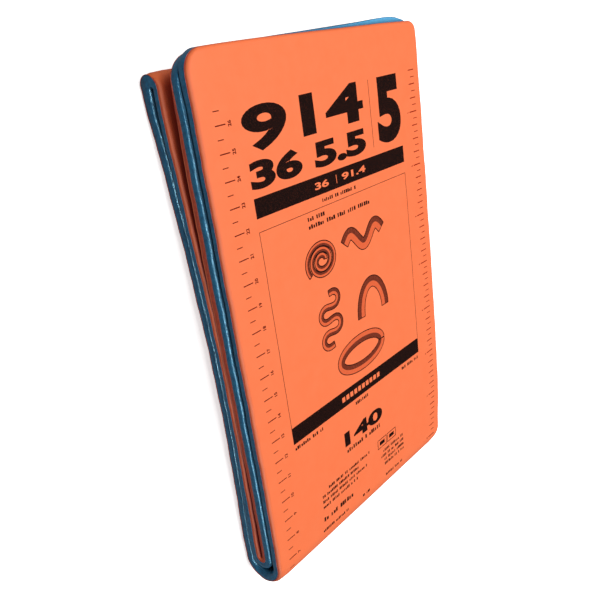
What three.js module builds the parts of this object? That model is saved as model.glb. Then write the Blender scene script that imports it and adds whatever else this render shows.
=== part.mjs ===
// Foam splint, folded flat into four leaves, in millimetres with +Z up.
// One long strip of two bonded closed-cell foams, orange on one side and blue on the other,
// lies on its back leaf with its front leaf up. The strip runs from the free end of the front
// leaf, round the outer bend, along the back leaf, over the top fold, along the second leaf,
// round the inner bend and up the third leaf to its other free end.
import * as THREE from 'three';

// Strip
const WIDTH = 140;
const FRONT_CORNER_RADIUS = 7;
const THIRD_CORNER_RADIUS = 9;
const ORANGE_THICKNESS = 1.9;
const BLUE_THICKNESS = 3.2;
const SEAM_GAP = 0.3;
const BLUE_ARRIS = 0.7;
const ORANGE_ARRIS = 1.7;

// Leaves, as lengths between the centres of the bends and the free ends
const FRONT_LEAF = 219.5;
const BACK_LEAF = 208;
const THIRD_LEAF_EXTRA = 0.4;
const INNER_BEND_RISE = 3;
const FRONT_LEAF_CROWN = 1;
const THIRD_END_SLANT = THREE.MathUtils.degToRad(0.55);
const SLANT_REACH = 40;

// Bends and the gaps between leaves
const INNER_BEND_RADIUS = 0.8;
const NEST_CLEARANCE = 0.3;
const FRONT_GAP = 0.5;
const FAN_GAP = 5.2;
const SLIT_GAP = 1.4;
const SIDE_DRIFT = 0.6;
const BEND_NARROWING = 2.4;

// Facets
const LEAF_STEPS = 14;
const OUTER_BEND_STEPS = 16;
const TIGHT_BEND_STEPS = 12;
const CORNER_STEPS = 9;
const ARRIS_STEPS = 2;
const LEAST_RIM = 0.05;
const SLOPE_STEP = 0.01;
const SAME_SPOT = 1e-6;

// The bends' radii, at the seam between the two foams
const innerBendSeam = INNER_BEND_RADIUS + ORANGE_THICKNESS;
const outerBendSeam = innerBendSeam + NEST_CLEARANCE + 2 * BLUE_THICKNESS;
const topFoldSeam = SLIT_GAP / 2 + BLUE_THICKNESS;

// Heights of the seam above the centre of the two lower bends, along each leaf.
// A row holds the place along the leaf, as a share from bend to top, and a share of a size.
const FRONT_CROWN_ROWS = [
  { along: 0, share: 0 },
  { along: 0.07, share: 0.4 },
  { along: 0.2, share: 0.9 },
  { along: 0.35, share: 1 },
  { along: 0.5, share: 1 },
  { along: 1, share: 1 },
];
const THIRD_RISE_ROWS = [
  { along: 0, share: 0 },
  { along: 0.05, share: 0.45 },
  { along: 0.13, share: 0.85 },
  { along: 0.25, share: 1 },
  { along: 0.4, share: 1 },
  { along: 1, share: 1 },
];
const FAN_ROWS = [
  { along: 0.14, share: 0.27 },
  { along: 0.33, share: 0.13 },
  { along: 0.46, share: 0.13 },
  { along: 0.59, share: 0.26 },
  { along: 0.74, share: 0.6 },
  { along: 0.87, share: 0.86 },
  { along: 1, share: 1 },
];
const SLIT_ROWS = [
  { along: 0.14, share: 0.36 },
  { along: 0.24, share: 0.24 },
  { along: 0.45, share: 0.24 },
  { along: 0.74, share: 0.24 },
  { along: 0.87, share: 0.5 },
  { along: 1, share: 1 },
];

// Edges of the strip, by stretch. Whole numbers are the ends of the stretches: 0 to 1 is the front
// leaf, 2 to 3 the back leaf, 4 to 5 the second leaf, 6 to 7 the third, with the bends between.
// Drift is how far the strip lies to the left, narrow how far its right edge is drawn in, and
// arris how round the orange rim is, as shares.
const EDGE_ROWS = [
  { stretch: 0, drift: 0, narrow: 0, arris: 0.76 },
  { stretch: 0.45, drift: 0, narrow: 0.3, arris: 0.76 },
  { stretch: 1, drift: 0, narrow: 1, arris: 0.8 },
  { stretch: 2, drift: 1, narrow: 1, arris: 1 },
  { stretch: 2.3, drift: -0.4, narrow: 0.5, arris: 1 },
  { stretch: 2.7, drift: -0.4, narrow: 0.2, arris: 1 },
  { stretch: 3, drift: 1, narrow: 0.2, arris: 1 },
  { stretch: 4, drift: 1, narrow: 0.2, arris: 0.85 },
  { stretch: 5, drift: 1, narrow: 0.6, arris: 0.7 },
  { stretch: 6, drift: 0.85, narrow: 0.6, arris: 0.4 },
  { stretch: 7, drift: 0.85, narrow: 0, arris: 0.4 },
];

// A smooth curve through rows, level at both ends
function smoothCurve(places, values) {
  const curve = new THREE.CubicInterpolant(places, values, 1);
  curve.settings = { endingStart: THREE.ZeroSlopeEnding, endingEnd: THREE.ZeroSlopeEnding };
  return (place) => curve.evaluate(THREE.MathUtils.clamp(place, places[0], places.at(-1)))[0];
}

// Seam height along each leaf, as a function of the distance from the outer bend's centre
function leafHeights() {
  const innerTop = BACK_LEAF - INNER_BEND_RISE;
  const frontTop = outerBendSeam + FRONT_LEAF_CROWN;
  const thirdTop = frontTop - FRONT_GAP - 2 * BLUE_THICKNESS;
  const front = smoothCurve(
    FRONT_CROWN_ROWS.map((row) => row.along * FRONT_LEAF),
    FRONT_CROWN_ROWS.map((row) => outerBendSeam + row.share * FRONT_LEAF_CROWN),
  );
  const third = smoothCurve(
    THIRD_RISE_ROWS.map((row) => INNER_BEND_RISE + row.along * innerTop),
    THIRD_RISE_ROWS.map((row) => THREE.MathUtils.lerp(innerBendSeam, thirdTop, row.share)),
  );
  const secondPlaces = FAN_ROWS.map((row) => INNER_BEND_RISE + row.along * innerTop);
  const second = smoothCurve(
    [INNER_BEND_RISE, ...secondPlaces],
    [-innerBendSeam, ...FAN_ROWS.map((row, index) => (
      third(secondPlaces[index]) - 2 * ORANGE_THICKNESS - row.share * FAN_GAP
    ))],
  );
  const backPlaces = SLIT_ROWS.map((row) => INNER_BEND_RISE + row.along * innerTop);
  const back = smoothCurve(
    [0, ...backPlaces],
    [-outerBendSeam, ...SLIT_ROWS.map((row, index) => (
      second(backPlaces[index]) - 2 * BLUE_THICKNESS - row.share * SLIT_GAP
    ))],
  );
  return { front, back, second, third };
}

// Places along a straight leaf, closer together where a free end's corner is rounded
function leafPlaces(from, to, free, cornerRadius) {
  const places = [];
  const length = Math.abs(to - from);
  const direction = Math.sign(to - from);
  const corner = Array.from({ length: CORNER_STEPS + 1 }, (_, step) => (
    cornerRadius * (1 - Math.cos((Math.PI / 2) * (step / CORNER_STEPS)))
  ));
  const first = free === 'start' ? cornerRadius : 0;
  const last = free === 'end' ? length - cornerRadius : length;
  if (free === 'start') {
    places.push(...corner.slice(0, -1));
  }
  for (let step = 0; step <= LEAF_STEPS; step += 1) {
    places.push(THREE.MathUtils.lerp(first, last, step / LEAF_STEPS));
  }
  if (free === 'end') {
    places.push(...corner.slice(0, -1).reverse().map((distance) => length - distance));
  }
  return places.map((place) => from + direction * place);
}

// Stations along the seam: where it lies, which way it runs and how far the free end is
function leafStations(heightAt, from, to, stretch, free) {
  const cornerRadius = free === 'end' ? THIRD_CORNER_RADIUS : FRONT_CORNER_RADIUS;
  const places = leafPlaces(from, to, free, cornerRadius);
  const direction = Math.sign(to - from);
  return places.map((place) => {
    const slope = (heightAt(place + SLOPE_STEP) - heightAt(place - SLOPE_STEP)) / (2 * SLOPE_STEP);
    return {
      seam: new THREE.Vector2(place, heightAt(place)),
      heading: new THREE.Vector2(direction, direction * slope).normalize(),
      stretch: stretch + Math.abs(place - from) / Math.abs(to - from),
      toEnd: free ? Math.abs(place - (free === 'start' ? from : to)) : Infinity,
      cornerRadius,
      slanted: free === 'end',
    };
  });
}

// Stations round a bend, from one leaf's end to the next, without the two ends themselves
function bendStations(centre, radius, startAngle, turn, steps, stretch) {
  const stations = [];
  for (let step = 1; step < steps; step += 1) {
    const angle = startAngle + turn * (step / steps);
    const out = new THREE.Vector2(Math.cos(angle), Math.sin(angle));
    stations.push({
      seam: centre.clone().addScaledVector(out, radius),
      heading: new THREE.Vector2(-out.y, out.x).multiplyScalar(Math.sign(turn)),
      stretch: stretch + step / steps,
      toEnd: Infinity,
      cornerRadius: 0,
      slanted: false,
    });
  }
  return stations;
}

// The whole strip's stations, from the front leaf's free end to the third leaf's
function stripStations() {
  const heights = leafHeights();
  const foldCentre = new THREE.Vector2(BACK_LEAF, heights.back(BACK_LEAF) + topFoldSeam);
  const innerCentre = new THREE.Vector2(INNER_BEND_RISE, 0);
  const up = Math.PI / 2;
  const thirdEnd = FRONT_LEAF + THIRD_LEAF_EXTRA;
  return [
    ...leafStations(heights.front, FRONT_LEAF, 0, 0, 'start'),
    ...bendStations(new THREE.Vector2(), outerBendSeam, up, Math.PI, OUTER_BEND_STEPS, 1),
    ...leafStations(heights.back, 0, BACK_LEAF, 2, null),
    ...bendStations(foldCentre, topFoldSeam, -up, Math.PI, TIGHT_BEND_STEPS, 3),
    ...leafStations(heights.second, BACK_LEAF, INNER_BEND_RISE, 4, null),
    ...bendStations(innerCentre, innerBendSeam, -up, -Math.PI, TIGHT_BEND_STEPS, 5),
    ...leafStations(heights.third, INNER_BEND_RISE, thirdEnd, 6, 'end'),
  ];
}

// How much of a rounded rim is lost at a distance from the end that it rounds
function roundedLoss(distance, radius) {
  if (distance >= radius) {
    return 0;
  }
  return radius - Math.sqrt(radius ** 2 - (radius - distance) ** 2);
}

// Half of the foam's section, seen along the strip: a flat face at the seam, rounded outer rims
function sectionPoints(halfWidth, inner, outer, arris) {
  const shape = new THREE.Shape();
  shape.moveTo(-halfWidth, inner);
  shape.lineTo(halfWidth, inner);
  shape.lineTo(halfWidth, outer - arris);
  shape.absarc(halfWidth - arris, outer - arris, arris, 0, Math.PI / 2, false);
  shape.lineTo(-halfWidth + arris, outer);
  shape.absarc(-halfWidth + arris, outer - arris, arris, Math.PI / 2, Math.PI, false);
  const spots = [];
  shape.getPoints(ARRIS_STEPS).forEach((point) => {
    if (spots.length === 0 || spots.at(-1).distanceTo(point) > SAME_SPOT) {
      spots.push(point);
    }
  });
  return spots;
}

// One ring of vertices: the section stood across the strip at a station
function ringAt(station, side, thickness, arris) {
  const { seam, heading, drift, narrow, toEnd, cornerRadius } = station;
  const halfWidth = (WIDTH - narrow) / 2 - roundedLoss(toEnd, cornerRadius);
  const outer = thickness - roundedLoss(toEnd, arris);
  const rim = Math.min(arris, outer - SEAM_GAP / 2 - LEAST_RIM);
  const normal = new THREE.Vector2(heading.y, -heading.x).multiplyScalar(side);
  const slant = station.slanted
    ? Math.tan(THIRD_END_SLANT) * Math.max(0, 1 - toEnd / SLANT_REACH)
    : 0;
  return sectionPoints(halfWidth, SEAM_GAP / 2, outer, rim).map((point) => {
    const spot = seam.clone()
      .addScaledVector(normal, point.y)
      .addScaledVector(heading, slant * point.x);
    return new THREE.Vector3(point.x - drift - narrow / 2, spot.x, spot.y);
  });
}

// A closed solid skinned over rings of equal length, capped at both ends
function skinRings(rings, flipped) {
  const count = rings[0].length;
  const positions = rings.flat().flatMap((vertex) => [vertex.x, vertex.y, vertex.z]);
  const faces = [];
  for (let ring = 0; ring < rings.length - 1; ring += 1) {
    for (let spot = 0; spot < count; spot += 1) {
      const next = (spot + 1) % count;
      const near = ring * count;
      const far = near + count;
      faces.push([near + spot, near + next, far + next], [near + spot, far + next, far + spot]);
    }
  }
  const last = (rings.length - 1) * count;
  for (let spot = 1; spot < count - 1; spot += 1) {
    faces.push([0, spot + 1, spot], [last, last + spot, last + spot + 1]);
  }
  const geometry = new THREE.BufferGeometry();
  geometry.setAttribute('position', new THREE.Float32BufferAttribute(positions, 3));
  geometry.setIndex(faces.flatMap((face) => (flipped ? face.toReversed() : face)));
  geometry.computeVertexNormals();
  return geometry;
}

// One of the strip's two foams. Side is 1 for the orange side of the seam and -1 for the blue.
function foamLayer(name, stations, side, thickness, arrisOf, material) {
  const rings = stations.map((station) => ringAt(station, side, thickness, arrisOf(station)));
  const layer = new THREE.Mesh(skinRings(rings, side < 0), material);
  layer.name = name;
  return layer;
}

// The angle that lays the outer bend and the top fold on one level line below them
function restingLean() {
  const { back } = leafHeights();
  const fold = new THREE.Vector2(BACK_LEAF, back(BACK_LEAF) + topFoldSeam);
  return Math.atan2(fold.y, fold.x) - Math.asin((topFoldSeam - outerBendSeam) / fold.length());
}

// A column of the edge rows as a smooth curve along the stretches
function edgeCurve(column, size) {
  return smoothCurve(EDGE_ROWS.map((row) => row.stretch), EDGE_ROWS.map((row) => row[column] * size));
}

const driftAt = edgeCurve('drift', SIDE_DRIFT);
const narrowAt = edgeCurve('narrow', BEND_NARROWING);
const arrisAt = edgeCurve('arris', ORANGE_ARRIS);
const stations = stripStations().map((station) => ({
  ...station,
  drift: driftAt(station.stretch),
  narrow: narrowAt(station.stretch),
}));

const orangeFoam = new THREE.MeshStandardMaterial({
  color: 0xff855a,
  roughness: 0.6,
  metalness: 0,
});
const blueFoam = new THREE.MeshStandardMaterial({
  color: 0x2f7fb0,
  roughness: 0.55,
  metalness: 0,
});

const strip = new THREE.Group();
strip.add(
  foamLayer('orange_foam', stations, 1, ORANGE_THICKNESS, (spot) => arrisAt(spot.stretch), orangeFoam),
  foamLayer('blue_foam', stations, -1, BLUE_THICKNESS, () => BLUE_ARRIS, blueFoam),
);
strip.rotation.x = -restingLean();

// The origin is the middle of the box's underside
const splint = new THREE.Group();
splint.add(strip);
const box = new THREE.Box3().setFromObject(splint, true);
const middle = box.getCenter(new THREE.Vector3());
splint.position.set(-middle.x, -middle.y, -box.min.z);
splint.updateMatrixWorld(true);

export default splint;
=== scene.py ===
"""A folded foam splint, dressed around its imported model.

One long strip of two bonded foams, orange on one side and blue on the other, is folded flat into
four leaves. It lies on its back leaf with the printed front leaf up. Lengths are millimetres in the
strip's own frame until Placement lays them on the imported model, which is in metres: x runs across
the strip, y from the outer bend to the free ends, and z out of the printed face.
"""

import logging
import math
from dataclasses import dataclass, field, fields
from enum import Enum
from typing import Callable, NamedTuple, Optional, Sequence

import bmesh
import bpy
import numpy as np
from mathutils import Matrix, Vector


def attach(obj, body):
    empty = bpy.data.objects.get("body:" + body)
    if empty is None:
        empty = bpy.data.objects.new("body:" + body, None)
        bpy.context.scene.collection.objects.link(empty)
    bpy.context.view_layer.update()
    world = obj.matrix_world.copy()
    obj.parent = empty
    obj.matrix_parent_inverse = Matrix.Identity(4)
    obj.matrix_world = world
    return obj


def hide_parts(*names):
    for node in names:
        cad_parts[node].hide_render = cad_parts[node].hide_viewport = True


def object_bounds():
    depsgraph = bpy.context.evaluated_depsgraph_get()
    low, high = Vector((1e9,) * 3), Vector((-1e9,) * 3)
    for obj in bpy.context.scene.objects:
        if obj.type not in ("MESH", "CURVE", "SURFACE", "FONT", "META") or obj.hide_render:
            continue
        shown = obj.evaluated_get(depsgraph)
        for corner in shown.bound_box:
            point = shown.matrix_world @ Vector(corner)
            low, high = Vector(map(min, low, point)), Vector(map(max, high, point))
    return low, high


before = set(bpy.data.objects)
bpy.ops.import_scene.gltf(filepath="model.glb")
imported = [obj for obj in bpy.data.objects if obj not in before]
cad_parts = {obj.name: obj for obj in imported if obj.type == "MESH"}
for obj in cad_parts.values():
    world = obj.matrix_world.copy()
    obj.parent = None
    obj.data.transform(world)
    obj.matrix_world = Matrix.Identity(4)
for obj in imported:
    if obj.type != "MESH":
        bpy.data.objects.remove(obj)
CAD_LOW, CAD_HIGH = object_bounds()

LOG = logging.getLogger("foam_splint")
MM = 0.001
BODY = "root"

# Wide print is cut into faces this long at most, in millimetres, so that it wraps smoothly.
CUT_STEP = 2.5

# The rulers' marks are short and narrow, so their faces may be longer.
MARK_STEP = 8.0

# How many steps the font's curves have: wide numbers show them, and the rulers' don't.
WIDE_CURVE_STEPS, SMALL_CURVE_STEPS = 6, 3

# A drawn line's corner is never widened to more than one over this.
LEAST_COSINE = 0.5

# How far above the foam the print lies, in millimetres: each layer clears what it covers.
FILL_LIFT, INK_LIFT, LINE_LIFT, BARE_LIFT = 0.02, 0.03, 0.04, 0.05

# A Mix node's sockets for two colours and their mix, which share their names with other sockets.
MIX_FIRST, MIX_SECOND, MIX_RESULT = 6, 7, 2


class Side(Enum):
    """Which of the two foams a layer is, as the sign of its side of the seam."""

    ORANGE = 1
    BLUE = -1


class EdgeRow(NamedTuple):
    """How the strip's edges lie at one place along it.

    Attributes:
        stretch: Where on the strip. Whole numbers are the ends of the leaves: 0 to 1 is the front
            leaf, 2 to 3 the back leaf, 4 to 5 the second and 6 to 7 the third, with the bends
            between them.
        drift: How far the strip lies to the left, as a share of its side drift.
        narrow: How far its right edge is drawn in, as a share of its narrowing at the bends.
        arris: The orange rim's radius, as a share of its size.
    """

    stretch: float
    drift: float
    narrow: float
    arris: float


class ShareRow(NamedTuple):
    """A share of a height or a gap at one place on a leaf.

    Attributes:
        along: The place: a share of the front leaf from the outer bend, or of the way from the
            inner bend to the top fold.
        share: The share.
    """

    along: float
    share: float


class EndRow(NamedTuple):
    """How far the two free ends stand out at one place across the strip, in millimetres.

    Attributes:
        across: The place's x.
        front: How far the front leaf's end stands out.
        third: How far the third leaf's does.
    """

    across: float
    front: float
    third: float


class RimRow(NamedTuple):
    """How the foams meet the left and right edges at one place along the strip.

    Attributes:
        stretch: Where on the strip, as EdgeRow counts it.
        bevel: How far the orange rim is pressed to a bevel: 0 is round, 1 a bevel.
        swell: How far the blue foam swells over the seam at the very edge, in millimetres.
        blue_arris: How wide the blue rim's chamfer is, in millimetres.
        drawn_in: How far the right edge is drawn in besides its narrowing, in millimetres. Below
            nothing it stands out.
    """

    stretch: float
    bevel: float
    swell: float
    blue_arris: float
    drawn_in: float


# How the front leaf climbs out of the outer bend to its crown.
FRONT_CROWN_ROWS = (
    ShareRow(0, 0),
    ShareRow(0.07, 0.4),
    ShareRow(0.2, 0.9),
    ShareRow(0.35, 1),
    ShareRow(0.5, 1),
    ShareRow(1, 1),
)

# How the third leaf climbs out of the inner bend to its place under the front leaf.
THIRD_RISE_ROWS = (
    ShareRow(0, 0),
    ShareRow(0.05, 0.45),
    ShareRow(0.13, 0.85),
    ShareRow(0.25, 1),
    ShareRow(0.4, 1),
    ShareRow(1, 1),
)

# How the gap between the third and the second leaf opens towards the top fold.
FAN_ROWS = (
    ShareRow(0.14, 0.27),
    ShareRow(0.33, 0.13),
    ShareRow(0.46, 0.13),
    ShareRow(0.59, 0.26),
    ShareRow(0.74, 0.6),
    ShareRow(0.87, 0.86),
    ShareRow(1, 1),
)

# How the slit between the second and the back leaf opens towards the top fold.
SLIT_ROWS = (
    ShareRow(0.14, 0.36),
    ShareRow(0.24, 0.24),
    ShareRow(0.45, 0.24),
    ShareRow(0.74, 0.24),
    ShareRow(0.87, 0.5),
    ShareRow(1, 1),
)

# How the edges drift and narrow along the strip.
EDGE_ROWS = (
    EdgeRow(0, 0, 0, 1.04),
    EdgeRow(0.45, 0, 0.3, 1.04),
    EdgeRow(1, 0, 1, 1.02),
    EdgeRow(2, 1, 1, 1),
    EdgeRow(2.3, -0.4, 0.5, 1),
    EdgeRow(2.7, -0.4, 0.2, 1),
    EdgeRow(3, 1, 0.2, 1),
    EdgeRow(4, 1, 0.2, 0.85),
    EdgeRow(5, 1, 0.6, 0.7),
    EdgeRow(6, 0.85, 0.6, 0.4),
    EdgeRow(7, 0.85, 0, 0.4),
)

# How uneven the free ends are, from left to right.
END_ROWS = (
    EndRow(-70, 0, -1.2),
    EndRow(-58, 0.3, -0.5),
    EndRow(-48, 0.4, 0),
    EndRow(-30, 0.4, 0.3),
    EndRow(-10, 0.17, 0.4),
    EndRow(6, -0.05, 0.33),
    EndRow(20, -0.23, 0.45),
    EndRow(35, -0.4, 0.65),
    EndRow(49, -0.64, 0.95),
    EndRow(55, -0.85, 0.95),
    EndRow(61, -1.0, 0.3),
    EndRow(70, -1.1, -1.6),
)

# How the rims are pressed, swollen and chamfered along the strip.
RIM_ROWS = (
    RimRow(0, 0, 0, 0.2, 0),
    RimRow(0.03, 0, 0, 0.3, -0.4),
    RimRow(0.09, 0, 0, 0.85, -0.6),
    RimRow(0.8, 0, 0, 0.85, -0.5),
    RimRow(0.9, 0, 0, 0.85, 0),
    RimRow(0.97, 0, 0, 0.85, 1.1),
    RimRow(1.1, 0.3, 0, 0.85, 2.4),
    RimRow(1.3, 0.8, 0, 1, 2.6),
    RimRow(1.9, 1, 0, 1, 1.4),
    RimRow(2.04, 1, 0, 0.35, 0.3),
    RimRow(2.15, 1, 0, 0.3, 0),
    RimRow(2.3, 0.95, 0, 0.8, 0),
    RimRow(2.6, 0.95, 0.1, 0.9, 0),
    RimRow(2.9, 1, 0.4, 1, 0),
    RimRow(3, 1, 0.9, 1, 0),
    RimRow(3.4, 0.4, 1.3, 0.7, 0),
    RimRow(3.75, 0.3, 0.5, 0.7, 0),
    RimRow(4, 0.2, -0.1, 1.1, 0),
    RimRow(4.2, 0, 0, 1.3, 0),
    RimRow(4.75, 0, 0, 1.1, 0),
    RimRow(4.87, 0, 0, 0.35, 0),
    RimRow(5, 0, 0, 0.35, 0),
    RimRow(5.5, 0, 0, 0.7, 0),
    RimRow(6.05, 0, 0, 0.85, 0),
    RimRow(6.9, 0, 0, 0.85, -0.8),
    RimRow(6.97, 0.9, 0.2, 0.3, -2.0),
    RimRow(7, 1, 0.3, 0.2, -2.4),
)


class SmoothCurve:
    """A smooth curve through rows, level at both ends.

    Between two rows it is a cubic. Its slope at a row is the mean of the slopes of the two chords
    that meet there.
    """

    def __init__(self, places: Sequence[float], values: Sequence[float]) -> None:
        """Works out the slopes at the rows.

        Args:
            places: The rows' places, rising.
            values: The rows' values.
        """
        self.places = np.asarray(places, float)
        self.values = np.asarray(values, float)
        chords = np.diff(self.values) / np.diff(self.places)
        self.slopes = np.concatenate(([0.0], (chords[:-1] + chords[1:]) / 2, [0.0]))

    @classmethod
    def column(cls, rows: Sequence[tuple], name: str, size: float = 1.0) -> "SmoothCurve":
        """A column of rows, times a size, as a curve over the rows' first column."""
        return cls([row[0] for row in rows], [getattr(row, name) * size for row in rows])

    def __call__(self, place: np.ndarray) -> np.ndarray:
        """The curve's values.

        Args:
            place: Where they are wanted. Past the end rows the curve keeps their values.

        Returns:
            A value for each place.
        """
        place = np.clip(place, self.places[0], self.places[-1])
        row = np.searchsorted(self.places, place, side="right") - 1
        row = np.clip(row, 0, len(self.places) - 2)
        span = self.places[row + 1] - self.places[row]
        t = (place - self.places[row]) / span
        return (
            (1 + 2 * t) * (1 - t) ** 2 * self.values[row]
            + t * (1 - t) ** 2 * span * self.slopes[row]
            + t**2 * (3 - 2 * t) * self.values[row + 1]
            - t**2 * (1 - t) * span * self.slopes[row + 1]
        )


def rounded_loss(distance: np.ndarray, radius: np.ndarray, power: float = 2.0) -> np.ndarray:
    """How much of a rounded rim is lost at a distance from the end that it rounds.

    It is the gap between a square corner and the curve in it, along which the powers of the two
    distances from the curve's centre sum to the power of the radius: a quarter circle at 2, and
    nearly a straight chamfer a little over 1. Past the radius nothing is lost.

    Args:
        distance: How far from the end.
        radius: The rim's radius.
        power: The power.

    Returns:
        The loss, from the radius at the end to nothing.
    """
    left = np.clip(1 - distance / radius, 0, 1)
    return radius * (1 - (1 - left**power) ** (1 / power))


@dataclass(frozen=True)
class StripSizes:
    """The strip's driving sizes in millimetres.

    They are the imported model's, apart from the corners: it has one radius for both of a leaf's.

    Attributes:
        width: The strip's full width.
        front_corners: The radii of the front leaf's corners, left and right.
        third_corners: The radii of the third leaf's.
        orange_thickness: From the seam to the orange face.
        blue_thickness: From the seam to the blue face.
        front_leaf: From the outer bend's centre to the front leaf's free end.
        back_leaf: From the outer bend's centre to the top fold's.
        third_leaf_extra: How much further than the front leaf the third one reaches.
        inner_bend_rise: How far up the strip the inner bend's centre is from the outer bend's.
        front_leaf_crown: How far the front leaf rises over the outer bend.
        third_end_slant: How far the third leaf's end is out of square, as an angle.
        slant_reach: How far from a free end its unevenness dies away.
        inner_bend_radius: The inner bend's radius at the orange face.
        nest_clearance: Between the inner bend and the outer bend that it nests in.
        front_gap: Between the front and the third leaf.
        fan_gap: Between the third and the second leaf, at the top fold.
        slit_gap: Between the second and the back leaf, at the top fold.
        side_drift: How far the strip lies to the left at most.
        bend_narrowing: How far its right edge is drawn in at the bends.
        orange_arris: The orange rim's radius.
    """

    width: float = 140.0
    front_corners: tuple[float, float] = (8.0, 4.6)
    third_corners: tuple[float, float] = (9.5, 5.0)
    orange_thickness: float = 1.9
    blue_thickness: float = 3.2
    front_leaf: float = 219.5
    back_leaf: float = 208.0
    third_leaf_extra: float = 0.4
    inner_bend_rise: float = 3.0
    front_leaf_crown: float = 1.0
    third_end_slant: float = math.radians(0.55)
    slant_reach: float = 40.0
    inner_bend_radius: float = 0.8
    nest_clearance: float = 0.3
    front_gap: float = 0.5
    fan_gap: float = 5.2
    slit_gap: float = 1.4
    side_drift: float = 0.6
    bend_narrowing: float = 2.4
    orange_arris: float = 1.7

    @property
    def inner_bend_seam(self) -> float:
        """The inner bend's radius at the seam."""
        return self.inner_bend_radius + self.orange_thickness

    @property
    def outer_bend_seam(self) -> float:
        """The outer bend's radius at the seam: the inner bend nests in it."""
        return self.inner_bend_seam + self.nest_clearance + 2 * self.blue_thickness

    @property
    def top_fold_seam(self) -> float:
        """The top fold's radius at the seam."""
        return self.slit_gap / 2 + self.blue_thickness


@dataclass
class Stations:
    """Places along the seam, in order from the front leaf's free end to the third leaf's.

    Attributes:
        seam: The seam's y and z.
        heading: The unit vector along the strip.
        stretch: Where on the strip, as EdgeRow counts it.
        to_end: The distance from the leaf's free end, or infinite.
        front_share: The share of the front leaf's end shift.
        third_share: The share of the third leaf's.
        corners: The free end's corner radii, left and right.
    """

    seam: np.ndarray
    heading: np.ndarray
    stretch: np.ndarray
    to_end: np.ndarray
    front_share: np.ndarray
    third_share: np.ndarray
    corners: np.ndarray

    @staticmethod
    def joined(parts: Sequence["Stations"]) -> "Stations":
        """Joins stations.

        Args:
            parts: The stations of the strip's parts, in order.

        Returns:
            All of them in one.
        """
        columns = (
            np.concatenate([getattr(part, entry.name) for part in parts])
            for entry in fields(Stations)
        )
        return Stations(*columns)

    @property
    def outward(self) -> np.ndarray:
        """The unit vector out of the orange face."""
        return np.stack([self.heading[:, 1], -self.heading[:, 0]], axis=1)

    @property
    def length(self) -> np.ndarray:
        """How far each station is along the seam."""
        steps = np.linalg.norm(np.diff(self.seam, axis=0), axis=1)
        return np.concatenate(([0.0], np.cumsum(steps)))


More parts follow.
